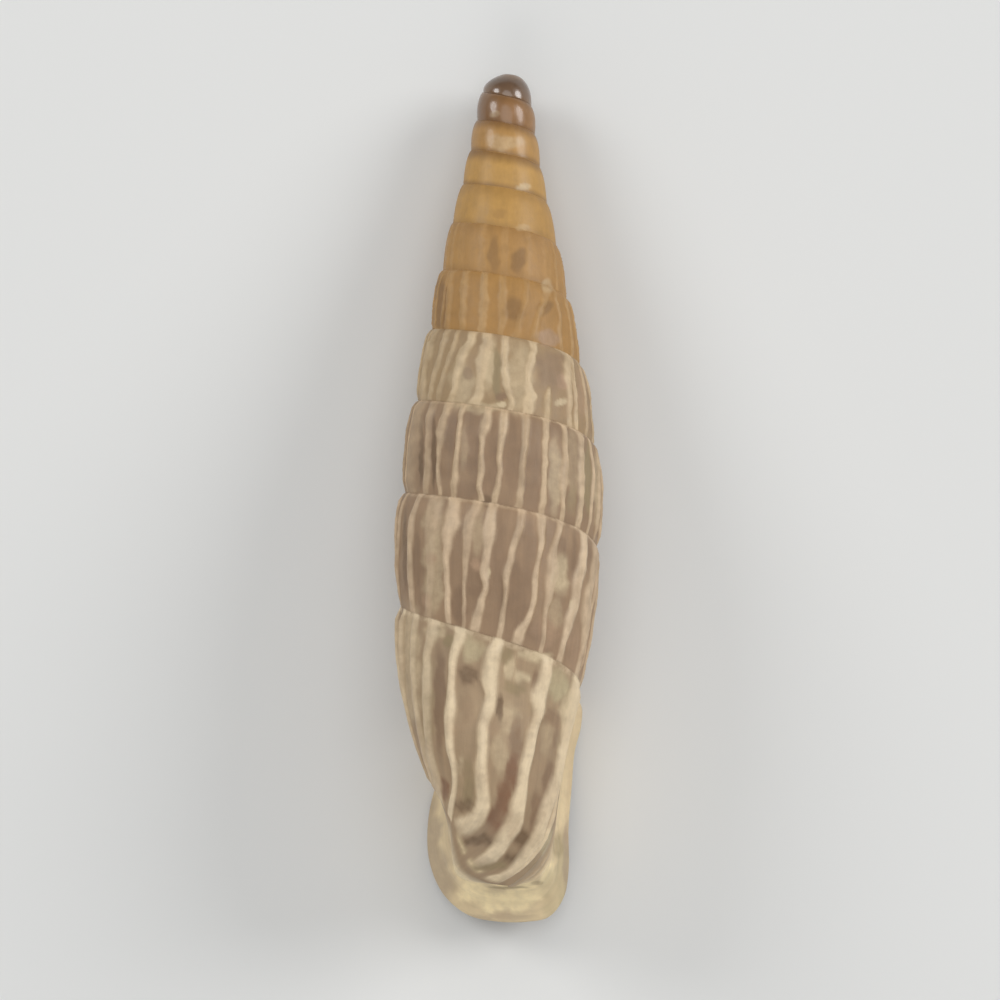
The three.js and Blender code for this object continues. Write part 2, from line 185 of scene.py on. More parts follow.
@dataclass(frozen=True)
class Coil:
    """Form of the whorls round the shell's axis, in mm, the same as the frame's solid."""

    # Turn, height of the suture, its distance from the axis, swell of the whorl beyond the line
    # between its sutures, and place of the most swell.
    growth: Table = (
        (0.0, 16.83, 0.0, 0.16, 0.42),
        (0.5, 16.76, 0.28, 0.1, 0.4),
        (0.9, 16.53, 0.42, 0.07, 0.38),
        (1.25, 16.3, 0.49, 0.06, 0.38),
        (2.25, 15.73, 0.575, 0.055, 0.36),
        (3.25, 15.09, 0.69, 0.045, 0.35),
        (4.25, 14.37, 0.84, 0.05, 0.34),
        (5.25, 13.55, 1.04, 0.06, 0.33),
        (6.25, 12.53, 1.23, 0.08, 0.33),
        (7.25, 11.26, 1.46, 0.09, 0.33),
        (8.25, 9.72, 1.76, 0.12, 0.33),
        (9.25, 7.75, 1.96, 0.12, 0.33),
        (9.65, 6.82, 1.95, 0.12, 0.34),
        (10.0, 5.96, 1.9, 0.27, 0.5),
        (10.25, 5.07, 1.86, 0.46, 0.7),
        (10.5, 4.35, 1.72, 0.34, 0.76),
        (10.75, 3.6, 1.5, 0.34, 0.7),
        (11.0, 2.35, 1.13, 0.34, 0.7),
        (11.16, 1.6, 0.92, 0.34, 0.7),
        (11.25, 1.08, 0.68, 0.34, 0.7),
        (11.34, 0.64, 0.55, 0.34, 0.7),
        (11.42, 0.38, 0.56, 0.34, 0.7),
        (11.5, 0.34, 0.62, 0.34, 0.7),
    )
    swell_power: float = 0.8
    end: float = 10.5
    # Near its base the last whorl draws over to the left, by the turn, and more so low on the whorl.
    drift: Table = (
        (9.9, 0), (10.05, 0.06), (10.16, 0.36), (10.25, 0.7), (10.34, 0.8), (10.42, 0.56), (10.5, 0.26),
    )
    drift_power: int = 6
    # How far the axis lies to the right, by the height.
    sway: Table = ((0, 0), (6.6, 0), (8.2, 0.06), (10.5, 0.045), (12, 0), (14, -0.03), (17, -0.01))
    arc_steps: int = 400

    def height(self, turn: Array) -> Array:
        """Height of the suture."""
        return along(self.growth, turn, 1)

    def reach(self, turn: Array) -> Array:
        """Distance of the suture from the axis."""
        return along(self.growth, turn, 2)

    def radius(self, turn: Array, v: Array) -> Array:
        """Distance of the outside of a whorl from the axis, at a turn and a place v across the whorl."""
        middle = math.log(0.5) / np.log(along(self.growth, turn, 4))
        swell = np.maximum(0, np.sin(np.pi * v**middle)) ** self.swell_power
        return lerp(self.reach(turn), self.reach(turn + 1), v) + along(self.growth, turn, 3) * swell

    def point(self, turn: Array, v: Array, relief: Array | float = 0.0) -> Array:
        """Point on the outside of a whorl.

        Args:
            turn: Turn coordinate.
            v: Place across the whorl.
            relief: How far the point is raised, in mm.

        Returns:
            The point, or an array of points, in the shell's own directions.
        """
        height = lerp(self.height(turn), self.height(turn + 1), v)
        point = around_axis(turn, self.radius(turn, v) + relief, height)
        point[..., 0] += along(self.sway, height) - along(self.drift, turn) * v**self.drift_power
        return point

    def arc(self, turn: Array) -> Array:
        """Length of the tube's suture from the apex to a turn, in mm."""
        steps = np.linspace(0, self.end, self.arc_steps)
        lengths = np.concatenate([[0], np.cumsum(np.diff(steps) * self.reach(steps[1:]))])
        return 2 * math.pi * np.interp(turn, steps, lengths)


def around_axis(turn: Array, radius: Array, height: Array) -> Array:
    """Point at an angle of a turn, a distance from the axis and a height."""
    angle = 2 * np.pi * np.asarray(turn, float)
    across, out = -radius * np.cos(angle), radius * np.sin(angle)
    return np.stack(np.broadcast_arrays(across, height, out), -1).astype(float)


@dataclass(frozen=True)
class Paint:
    """A colour as a picture shows it, from 0 to 255."""

    red: int
    green: int
    blue: int

    def linear(self) -> tuple[float, float, float, float]:
        """The colour in light, as a shader takes it."""
        levels = [level / 255 for level in (self.red, self.green, self.blue)]
        return tuple(x / 12.92 if x <= 0.04045 else ((x + 0.055) / 1.055) ** 2.4 for x in levels) + (1.0,)


class Tint(Enum):
    """Colour of a mark on the shell. Later ones cover earlier ones."""

    # Pale blotches of the shell, and also painted highlights on the glossy upper whorls.
    PALE = Paint(204, 183, 147)
    # Pale cream of the lip, brighter than its own colour to lift the shade on the flare and the base: partly
    # painted light.
    CREAM = Paint(250, 228, 180)
    SAGE = Paint(184, 168, 132)
    ROSY = Paint(168, 137, 108)
    ASH = Paint(162, 142, 120)
    OLIVE = Paint(148, 128, 94)
    HORN = Paint(136, 100, 54)
    BROWN = Paint(136, 109, 82)
    RUST = Paint(130, 96, 70)
    DARK = Paint(112, 88, 62)

    @property
    def signal(self) -> str:
        """Name of the signal that shows where it is."""
        return self.name.lower()


Marks = Sequence[tuple[Tint, Sequence[Sequence[float]]]]

# What each vertex of the shell tells its finish.
SIGNALS = ("age", "across", "lines", "crest", "stain", "lip", "inside", *(tint.signal for tint in Tint))


@dataclass(frozen=True)
class Mark:
    """A blotch on the back of the shell, or a spot of painted light there, at a pixel of the photograph, with
    its half sizes in pixels.
    """

    x: float
    y: float
    half_width: float
    half_height: float
    strength: float = 1.0
    # It fades between these parts of its half sizes.
    fade: tuple[float, float] = (1.4, 0.65)
    # Its edge wavers by this part of the lesser half size, in coarse waves and in fainter fine ones.
    waver: float = 0.2
    coarse: tuple[float, float] = (0.19, 0.11)
    fine: float = 0.47
    fine_share: float = 0.4

    def shown(self, pixels: Array) -> Array:
        """How much of the mark there is at each pixel."""
        turned = pixels[..., ::-1]
        waves = np.sin(turned * self.coarse[0] + pixels * self.coarse[1])
        waves = waves + self.fine_share * np.sin(turned * self.fine + 1)
        pixels = pixels + self.waver * min(self.half_width, self.half_height) * waves
        across = (pixels[..., 0] - self.x) / self.half_width
        down = (pixels[..., 1] - self.y) / self.half_height
        return self.strength * smoothstep(np.hypot(across, down), *self.fade)


@dataclass(frozen=True)
class Crest:
    """A rib that the photograph shows.

    Its path down the whorl is in pixels of the photograph: x, y and the width of its pale crest. One
    that starts or ends does so with its path, and the others go on to the suture.
    """

    path: Sequence[tuple[float, float, float]]
    tone: float = 1.0
    lift: float = 1.0
    ends: bool = False
    starts: bool = False


@dataclass(frozen=True)
class BackView:
    """What the photograph shows of the back, at its own pixels: the ribs' crests and the blotches."""

    view: PhotoView
    # For each whorl, the turn at the middle of its back and its crests from left to right. A crest that
    # shows no path of its own is given by its angle to the right of that middle, in degrees.
    crests: Sequence[tuple[float, Sequence[float | Crest]]] = (
        (5.25, (
            Crest(((462, 236, 6), (461, 268, 7)), 0.3),
            Crest(((482, 232, 7), (482, 270, 9)), 0.6),
            Crest(((505, 236, 7), (504, 272, 9)), 0.45),
            Crest(((529, 240, 7), (528, 274, 8)), 0.35),
            Crest(((546, 246, 6), (548, 278, 8)), 0.3),
        )),
        (6.25, (
            -58,
            Crest(((451, 276, 5), (449, 300, 6), (447, 330, 6)), 0.6),
            Crest(((466, 272, 7), (464, 290, 8), (463, 312, 7), (461, 334, 6)), 0.75),
            Crest(((484, 274, 7), (484, 300, 9), (481, 336, 8)), 1.1),
            Crest(((503, 274, 7), (503, 290, 9), (502, 318, 8), (500, 336, 6)), 0.6),
            Crest(((526, 276, 5), (526, 300, 7), (520, 318, 7), (515, 338, 8)), 0.35),
            Crest(((549, 282, 10), (546, 296, 8), (538, 318, 7), (534, 340, 8)), 0.5),
            52, 68,
        )),
        (7.25, (
            -74,
            Crest(((432, 340, 4), (425, 366, 5), (420, 402, 5)), 0.6),
            Crest(((444, 341, 5), (435, 372, 5), (429, 404, 5)), 0.55),
            Crest(((455, 342, 4), (443, 375, 5), (437, 405, 4)), 0.5),
            Crest(((472, 339, 9), (462, 356, 9), (457, 376, 7), (453, 395, 6), (448, 410, 6)), 0.9),
            Crest(((487, 342, 12), (483, 357, 13), (481, 375, 9), (479, 395, 11), (473, 406, 12),
                (466, 412, 9)), 1.0),
            Crest(((505, 344, 7), (505, 366, 8), (506, 386, 7), (512, 402, 6), (508, 414, 6)), 0.9),
            Crest(((533, 349, 8), (530, 366, 7), (528, 381, 7), (531, 393, 11), (529, 405, 12),
                (526, 414, 10)), 1.15),
            Crest(((549, 388, 3), (547, 398, 5), (547, 412, 5)), 0.75, starts=True),
            Crest(((567, 356, 7), (568, 378, 7), (570, 395, 5), (569, 412, 5)), 0.8),
            56, 70,
        )),
        (8.25, (
            -74,
            Crest(((414, 416, 6), (409, 433, 7), (405, 464, 7), (403, 492, 6)), 0.4),
            Crest(((430, 414, 6), (428, 440, 6), (427, 470, 6), (426, 492, 6)), 0.55),
            Crest(((446, 413, 8), (441, 430, 8), (439, 450, 5), (438, 470, 4), (440, 492, 4)), 0.75),
            Crest(((461, 413, 6), (458, 440, 5), (456, 461, 6), (455, 479, 7), (454, 495, 6)), 0.85),
            Crest(((488, 413, 7), (485, 425, 9), (482, 441, 6), (481, 464, 6), (480, 487, 6),
                (481, 500, 6)), 0.95),
            Crest(((505, 413, 8), (502, 433, 8), (500, 453, 6), (499, 476, 5), (496, 494, 7),
                (494, 504, 6)), 0.95),
            Crest(((525, 413, 10), (525, 433, 8), (522, 464, 6), (521, 487, 7), (519, 505, 7)), 0.7),
            Crest(((546, 418, 6), (545, 441, 6), (545, 464, 5), (543, 491, 6), (542, 511, 6)), 1.1),
            Crest(((562, 424, 5), (565, 448, 5), (564, 479, 8), (563, 497, 5), (563, 515, 5)), 0.85),
            Crest(((580, 436, 6), (581, 464, 6), (581, 494, 6), (579, 519, 6)), 1.0),
            66, 78,
        )),
        (9.25, (
            -78,
            Crest(((417, 504, 5), (412, 518, 6), (410, 541, 5), (410, 572, 5), (413, 604, 5)), 0.75),
            Crest(((436, 500, 15), (432, 520, 14), (430, 545, 9), (430, 575, 6), (428, 605, 8)), 0.45, 0.5),
            Crest(((454, 502, 12), (451, 523, 14), (447, 547, 8), (446, 566, 6), (447, 587, 6),
                (449, 622, 5)), 0.95),
            Crest(((476, 505, 9), (470, 520, 10), (467, 544, 8), (465, 566, 6), (464, 590, 4),
                (464, 622, 4)), 0.65, 0.7),
            Crest(((492, 513, 10), (490, 532, 12), (488, 549, 7), (485, 572, 10), (485, 587, 7),
                (481, 603, 8), (475, 624, 9)), 1.0),
            Crest(((521, 514, 9), (519, 531, 7), (512, 554, 8), (507, 576, 7), (505, 600, 5),
                (501, 630, 6)), 0.8),
            Crest(((541, 516, 9), (541, 541, 7), (538, 560, 5), (535, 580, 7), (534, 599, 6), (528, 618, 7),
                (519, 634, 12)), 1.0),
            Crest(((560, 528, 6), (554, 550, 7), (552, 572, 12), (549, 596, 8), (545, 610, 5),
                (543, 640, 4)), 0.7),
            Crest(((584, 542, 7), (582, 566, 10), (576, 587, 11), (574, 606, 9), (568, 624, 9),
                (563, 642, 6)), 0.95),
            Crest(((596, 556, 6), (592, 580, 7), (588, 602, 9), (586, 626, 8), (582, 650, 4)), 0.7),
            76,
        )),
        (10.25, (
            -78,
            Crest(((416, 624, 7), (413, 650, 5), (414, 690, 5), (418, 722, 5)), 0.5, 0.6),
            Crest(((432, 632, 11), (428, 655, 8), (427, 690, 9), (427, 720, 9), (430, 752, 8)), 0.6, 0.7),
            Crest(((461, 637, 11), (454, 656, 10), (452, 679, 8), (451, 708, 10), (450, 731, 8),
                (451, 750, 8), (454, 766, 7), (455, 784, 6), (452, 804, 6)), 0.95),
            Crest(((499, 640, 9), (495, 650, 14), (490, 664, 17), (489, 680, 16), (492, 696, 11),
                (489, 708, 12), (484, 721, 10), (482, 738, 10), (481, 758, 10), (481, 774, 12),
                (482, 792, 13), (482, 806, 13), (477, 819, 15), (467, 827, 17),
                (459, 829, 16)), 1.05, 1.4, True),
            Crest(((547, 661, 12), (545, 671, 12), (542, 687, 12), (538, 702, 14), (536, 718, 8),
                (532, 734, 10), (529, 750, 11), (525, 767, 12), (522, 786, 13), (518, 804, 16),
                (513, 822, 18), (505, 838, 18), (495, 851, 16), (485, 859, 15),
                (479, 861, 12)), 1.05, 1.4, True),
            Crest(((558, 778, 9), (548, 804, 12), (542, 822, 12), (536, 838, 13), (527, 853, 12),
                (516, 866, 10), (505, 875, 8), (494, 878, 7)), 0.85),
            73,
        )),
    )
    # The blotches of each tint: x, y, half width, half height, and a strength where it isn't full.
    # Some of them are painted light instead of the shell's colour, as noted at each.
    marks: Marks = (
        (Tint.PALE, (
            # Those at (495, 112), (505, 141), (523, 186) and (523, 226) are painted highlights of the lamps
            # on the glossy upper whorls; the rest are pale blotches of the shell.
            (495, 112, 6, 4, 0.4), (505, 141, 21, 8, 0.4), (523, 186, 8, 4, 0.55), (548, 285, 6, 7, 0.5),
            (523, 226, 8, 4, 0.35), (519, 376, 14, 38, 0.5), (489, 362, 10, 28, 0.6),
            (462, 386, 13, 26, 0.5), (480, 408, 22, 6, 0.6), (502, 405, 5, 3), (561, 402, 7, 4, 0.8),
            (464, 448, 5, 24, 0.35), (555, 476, 7, 40, 0.5), (573, 464, 6, 48, 0.35),
            (599, 490, 6, 40, 0.5), (434, 520, 12, 26, 0.4), (434, 566, 11, 50, 0.5),
            (478, 530, 8, 30, 0.4), (485, 572, 5, 7), (560, 574, 9, 22, 0.65), (556, 612, 8, 16, 0.4),
            (574, 606, 4, 7), (434, 632, 12, 9, 0.6), (409, 668, 13, 66, 0.5), (470, 648, 9, 13, 0.5),
            (510, 668, 6, 11), (522, 676, 9, 5), (532, 656, 20, 5, 0.9), (576, 702, 8, 20),
            (509, 720, 11, 20, 0.5), (499, 752, 9, 22, 0.45), (546, 738, 7, 18, 0.35), (567, 765, 9, 66),
            (461, 764, 4, 10, 0.5),
        )),
        (Tint.CREAM, (
            # The lip's cream over the strip left of the hooked ribs, lighter than it is to lift the shade
            # that falls there: partly painted light.
            (458, 852, 7, 16, 0.55), (470, 871, 11, 9, 0.55), (488, 882, 15, 5, 0.55),
        )),
        (Tint.SAGE, (
            (474, 650, 14, 12, 0.6), (558, 684, 10, 19, 0.8), (549, 846, 8, 16, 0.8),
        )),
        (Tint.ROSY, (
            (548, 338, 14, 8, 0.7), (563, 381, 6, 8, 0.8), (582, 392, 6, 26, 0.5), (431, 558, 6, 6, 0.6),
            (426, 601, 5, 7, 0.6), (476, 565, 5, 6, 0.7), (546, 634, 14, 16, 0.5), (577, 655, 13, 26, 0.5),
        )),
        (Tint.OLIVE, (
            (497, 376, 4, 26), (572, 500, 6, 16, 0.5), (588, 478, 4, 36, 0.9), (450, 641, 6, 7),
            (427, 700, 8, 56, 0.5), (506, 655, 7, 9, 0.7), (515, 688, 14, 7, 0.7), (469, 784, 7, 26, 0.7),
            # (490, 867) is painted shadow in the hollow under a hooked rib.
            (490, 867, 17, 4, 0.9), (533, 868, 12, 7, 0.5),
        )),
        (Tint.HORN, (
            (514, 308, 10, 14, 0.75), (518, 261, 9, 13, 0.75), (544, 307, 9, 8, 0.7),
            (441, 304, 7, 28, 0.8), (494, 254, 6, 18, 0.6), (501, 212, 8, 6, 0.4),
        )),
        (Tint.BROWN, (
            (409, 452, 9, 44, 0.7), (404, 590, 5, 30, 0.4), (596, 400, 8, 40, 0.5), (468, 373, 5, 7, 0.6),
            (500, 397, 6, 5, 0.8), (550, 370, 14, 21, 0.6), (451, 434, 7, 22, 0.8), (474, 450, 7, 48, 0.6),
            (494, 450, 5, 42, 0.6), (512, 455, 7, 42, 0.6), (534, 455, 6, 44, 0.6), (417, 560, 4, 32, 0.8),
            (459, 606, 8, 20, 0.9), (475, 590, 6, 7, 0.9), (499, 560, 6, 55, 0.6), (518, 600, 10, 40, 0.8),
            (529, 550, 7, 36, 0.6), (562, 544, 5, 8, 0.7), (575, 560, 3.5, 30, 0.6), (440, 700, 6, 52, 0.9),
            (466, 706, 8, 16, 0.4), (535, 682, 4, 14, 0.8), (516, 738, 6, 24, 0.7), (552, 718, 8, 10, 0.7),
            (558, 738, 5, 12, 0.6), (549, 778, 7, 16, 0.9), (537, 814, 7, 22, 0.9),
        )),
        (Tint.RUST, (
            (513, 772, 7, 20, 0.9), (503, 798, 8, 18, 0.9), (495, 820, 9, 13, 0.85), (444, 789, 5, 12, 0.8),
        )),
        (Tint.DARK, (
            (421, 452, 2.6, 36, 0.9), (434, 450, 2.4, 38, 0.9), (487, 501, 6, 6, 0.8),
            (405, 552, 2.5, 38, 0.7), (436, 630, 5, 3, 0.5), (468, 675, 9, 12, 0.7), (500, 707, 4, 13, 0.8),
            # (480, 841) is painted shadow in the hollow under a hooked rib.
            (480, 841, 18, 6, 0.8), (464, 806, 10, 8, 0.6), (522, 842, 8, 14, 0.8), (512, 860, 9, 7, 0.8),
        )),
    )
    lip_marks: Marks = (
        (Tint.CREAM, (
            # The lip's cream, lighter where the flare faces away from the lamps and lies in shade: partly
            # painted light.
            (462, 868, 8, 18, 0.6), (474, 892, 15, 13, 0.75), (502, 903, 28, 11, 0.9),
            (530, 893, 16, 12, 0.8), (548, 874, 8, 14, 0.7), (508, 884, 22, 4, 0.7),
        )),
        (Tint.SAGE, (
            (563, 872, 8, 40, 0.7), (553, 894, 14, 26, 0.55),
        )),
        (Tint.ASH, (
            (428, 846, 14, 52, 0.6), (441, 884, 13, 30, 0.6), (567, 862, 4, 44, 0.6),
            (500, 919, 40, 3.5, 0.45),
        )),
        (Tint.OLIVE, (
            (558, 846, 6, 14, 0.5), (508, 889, 22, 1.6, 0.6), (538, 884, 7, 2.5, 0.5),
        )),
    )

    def shown(self, marks: Marks, points: Array, weight: Array | float) -> dict[str, Array]:
        """Signals of blotches.

        Args:
            marks: The blotches.
            points: Points of the shell.
            weight: How much of the blotches each point shows.

        Returns:
            One signal for each tint.
        """
        pixels = self.view.pixels(points)
        signals = {tint.signal: np.zeros(len(points)) for tint in Tint}
        for tint, rows in marks:
            signal = signals[tint.signal]
            for row in rows:
                np.maximum(signal, Mark(*row).shown(pixels) * weight, out=signal)
        return signals


@dataclass(frozen=True)
class Line:
    """A rib's crest: its turn and half width in turns at each row, its tone and lift, and its two ends.

    The ends are places across the whorl, and lie off it where the crest goes on to the sutures.
    """

    turns: Array
    widths: Array | None = None
    tone: float = 1.0
    lift: float = 1.0
    end: float = 2.0
    start: float = -1.0


@dataclass
class Ribs:
    """The ribs of the whorls: where their crests run, how high they stand and how they vary."""

    coil: Coil
    seen: BackView
    rows: Array
    # Turn of the first rib, and the usual spacing in degrees.
    start: float = 5.05
    spacing: float = 14.0
    # By the turn: lean in turns, height and half width in mm, and the place on the whorl where a rib starts
    # to fade towards the lower suture. From the upper one it is full from one place on.
    lean: Table = ((5.2, 0), (7.5, 0.008), (8.5, 0.016), (9.3, 0.034), (10, 0.03), (10.3, 0.024), (10.5, 0))
    height: Table = (
        (5.0, 0.004), (5.6, 0.014), (6.2, 0.024), (7.2, 0.04), (8.2, 0.05), (9.8, 0.055), (10.2, 0.085),
        (10.6, 0.095),
    )
    half_width: Table = ((5.2, 0.05), (7.2, 0.055), (9.8, 0.065), (10.2, 0.09), (10.6, 0.1))
    fade_from: Table = ((9.5, 0.86), (9.9, 0.93))
    full_from: float = 0.07
    # Least gap between two crests and greatest width of one, as parts of the spacing.
    least_gap: float = 0.3
    widest: float = 0.34
    # How many random values vary a rib's path, height and width, its fine waver, and its tone.
    knots: int = 7
    fine_knots: int = 16
    tone_knots: int = 14
    # How far they do: the path of a hidden rib by a part of the spacing, the rest by parts of itself.
    waver: float = 0.1
    fine_waver: float = 0.2
    hidden_width_varies: float = 0.25
    seen_width_varies: float = 0.18
    height_varies: float = 0.3
    tone_varies: float = 0.2
    least_tone: float = 0.5
    # How softly a rib that starts or ends on the whorl does so, in its tone and in its height.
    tone_fade: float = 0.02
    height_fade: float = 0.05
    # The search for a pixel on a whorl: turns to each side of its middle, stops round and down it, and
    # the least way down from one place of a path to the next.
    search: float = 0.3
    search_stops: tuple[int, int] = (361, 241)
    least_drop: float = 0.012
    # Turns to each side over which the pixels of a turn are measured.
    side_step: float = 0.003
    crests: Array = field(init=False)
    widths: Array = field(init=False)
    heights: Array = field(init=False)
    tones: Array = field(init=False)

    def __post_init__(self) -> None:
        """Lays out the crests and their random variation."""
        rng = np.random.default_rng(SEED)
        lines, rows = self.all_crests(), self.rows
        count = len(lines)
        seen = np.array([line.widths is not None for line in lines])
        waver = wander(rng, count, self.knots, rows)
        crests = np.stack([line.turns for line in lines])
        crests += np.where(seen, 0, self.waver)[:, None] * waver * self.spacing / 360
        fine = wander(rng, count, self.fine_knots, rows)
        least = self.least_gap * self.spacing / 360
        for k in range(1, count):
            crests[k] = np.maximum(crests[k], crests[k - 1] + least)
        middle = crests[:, len(rows) // 2]
        usual = along(self.half_width, middle) / (2 * np.pi * self.coil.radius(middle, 0.5))
        widths = [
            np.full(len(rows), width) if line.widths is None else line.widths
            for width, line in zip(usual, lines)
        ]
        varies = np.where(seen, self.seen_width_varies, self.hidden_width_varies)[:, None]
        self.widths = np.stack(widths) * (1 + varies * wander(rng, count, self.knots, rows))
        self.crests = crests + self.fine_waver * fine * self.widths
        foot = along(self.fade_from, middle)[:, None]
        fade = smoothstep(rows, 0, self.full_from) * (1 - smoothstep(rows[None, :], foot, 1.0))
        rough = 1 + self.height_varies * wander(rng, count, self.knots, rows)
        lift, tone, start, end = (
            np.array([getattr(line, name) for line in lines])[:, None]
            for name in ("lift", "tone", "start", "end")
        )

        def kept(soft: float) -> Array:
            """How much of each crest there is at each row, where its path starts and ends this softly."""
            return smoothstep(rows, end + soft, end - soft) * smoothstep(rows, start - soft, start + soft)

        self.heights = along(self.height, middle)[:, None] * lift * fade * rough * kept(self.height_fade)
        tone = tone * np.where(seen, 1, rng.uniform(self.least_tone, 1, count))[:, None]
        varied = 1 + self.tone_varies * wander(rng, count, self.tone_knots, rows)
        self.tones = tone * varied * kept(self.tone_fade)

    def straight(self, turn: float) -> Line:
        """A crest that leans evenly, from its turn half-way down the whorl."""
        return Line(turn + along(self.lean, turn) * (0.5 - self.rows))

    def traced(self, middle: float, crest: Crest) -> Line:
        """A crest whose path the photograph shows.

        Args:
            middle: Turn at the middle of the back of its whorl.
            crest: What the photograph shows of it.

        Returns:
            The crest, which goes on straight beyond the ends of its path.
        """
        turns = middle + np.linspace(-self.search, self.search, self.search_stops[0])[:, None]
        across = np.linspace(0, 1, self.search_stops[1])[None, :]
        pixels = self.seen.view.pixels(self.coil.point(turns + 0 * across, across + 0 * turns))
        found: list[tuple[float, float, float]] = []
        for x, y, width in crest.path:
            nearest = np.argmin(np.hypot(pixels[..., 0] - x, pixels[..., 1] - y))
            i, j = np.unravel_index(nearest, pixels.shape[:2])
            if not found or across[0, j] > found[-1][0] + self.least_drop:
                found.append((across[0, j], turns[i, 0], width))
        low, high = found[0][0], found[-1][0]
        beyond = np.clip(low - self.rows, 0, 1) - np.clip(self.rows - high, 0, 1)
        turns = along(found, self.rows) + along(self.lean, middle) * beyond
        widths = self.turned(turns, along(found, self.rows, 2) / 2)
        ends = (high if crest.ends else Line.end, low if crest.starts else Line.start)
        return Line(turns, widths, crest.tone, crest.lift, *ends)

    def turned(self, line: Array, pixels: Array) -> Array:
        """Turns the half widths of a rib, square to its line, into turns.

        Args:
            line: Turn of the line at each row.
            pixels: Half width at each row, in pixels.

        Returns:
            Half width at each row, in turns.
        """
        def spot(turn: Array) -> Array:
            """Pixels of the line at other turns."""
            return self.seen.view.pixels(self.coil.point(turn, self.rows))

        run = np.gradient(spot(line), axis=0)
        run /= np.linalg.norm(run, axis=1, keepdims=True)
        aside = (spot(line + self.side_step) - spot(line - self.side_step)) / (2 * self.side_step)
        square = np.abs(aside[:, 0] * run[:, 1] - aside[:, 1] * run[:, 0])
        return np.minimum(pixels / np.maximum(square, 1), self.widest * self.spacing / 180)

    def all_crests(self) -> list[Line]:
        """Every crest from the first rib to the last. Those between two views of the back are even."""
        lines = [self.straight(self.start)]
        half = len(self.rows) // 2
        for middle, seen in self.seen.crests:
            shown = [
                self.traced(middle, one) if isinstance(one, Crest) else self.straight(middle + one / 360)
                for one in seen
            ]
            first, last = lines[-1], shown[0]
            count = max(1, round((last.turns[half] - first.turns[half]) * 360 / self.spacing))
            lines.extend(Line(lerp(first.turns, last.turns, k / count)) for k in range(1, count))
            lines.extend(shown)
        return lines


@dataclass
class Solid:
    """A closed mesh in the making, whose points carry the signals of their finish."""

    name: str
    points: list[Array] = field(default_factory=list)
    signals: list[Array] = field(default_factory=list)
    faces: list[tuple[int, ...]] = field(default_factory=list)

    def add(self, points: Array, **signals: Array | float) -> Array:
        """Adds points.

        Args:
            points: One row for each point, in the shell's own directions.
            **signals: Their signals. Those left out are 0.

        Returns:
            The numbers of the points.
        """
        points = np.atleast_2d(points)
        first = sum(len(batch) for batch in self.points)
        values = [np.broadcast_to(signals.get(name, 0.0), len(points)) for name in SIGNALS]
        self.points.append(points)
        self.signals.append(np.stack(values, -1))
        return np.arange(first, first + len(points))

    def strip(self, upper: Array, lower: Array) -> None:
        """Joins two rows of points that answer one another."""
        self.faces.extend(zip(upper[:-1], lower[:-1], lower[1:], upper[1:]))

    def fan(self, centre: int, line: Array) -> None:
        """Joins one point to each stretch of a line of points."""
        self.faces.extend((centre, a, b) for a, b in zip(line[:-1], line[1:]))

    def lace(self, upper: Array, upper_at: Array, lower: Array, lower_at: Array) -> None:
        """Joins two rows of points that run side by side, each with its own spacing.

        Args:
            upper: Numbers of the points of the upper row.
            upper_at: Their places along it.
            lower: Numbers of the points of the lower row.
            lower_at: Their places along it.
        """
        i = j = 0
        while i < len(upper) - 1 or j < len(lower) - 1:
            next_upper = upper_at[i + 1] if i < len(upper) - 1 else math.inf
            next_lower = lower_at[j + 1] if j < len(lower) - 1 else math.inf
            if next_upper <= next_lower:
                self.faces.append((upper[i], lower[j], upper[i + 1]))
                i += 1
            else:
                self.faces.append((upper[i], lower[j], lower[j + 1]))
                j += 1

    def tube(self, rows: list[Array], ends: Sequence[Array], **signals: float) -> None:
        """Joins rings of points to a closed tube.

        Args:
            rows: Numbers of the points of each ring.
            ends: The points of the first and the last ring, round whose middles it is closed.
            **signals: Signals of these two middles.
        """
        loops = [np.append(row, row[0]) for row in rows]
        for upper, lower in zip(loops[:-1], loops[1:]):
            self.strip(upper, lower)
        self.fan(self.add(ends[0].mean(0), **signals)[0], loops[0])
        self.fan(self.add(ends[1].mean(0), **signals)[0], loops[-1][::-1])

    def build(self) -> bpy.types.Object:
        """Makes the object, in metres in the shell's own directions, with its faces pointing out."""
        points = np.concatenate(self.points)
        volume = 0.0
        for face in self.faces:
            first = points[face[0]]
            for a, b in zip(face[1:-1], face[2:]):
                volume += first @ np.cross(points[a], points[b])
        faces = self.faces if volume > 0 else [face[::-1] for face in self.faces]
        mesh = bpy.data.meshes.new(self.name)
        mesh.from_pydata((points * MM).tolist(), [], [tuple(map(int, face)) for face in faces])
        mesh.validate()
        thing = bpy.data.objects.new(self.name, mesh)
        bpy.context.scene.collection.objects.link(thing)
        return thing


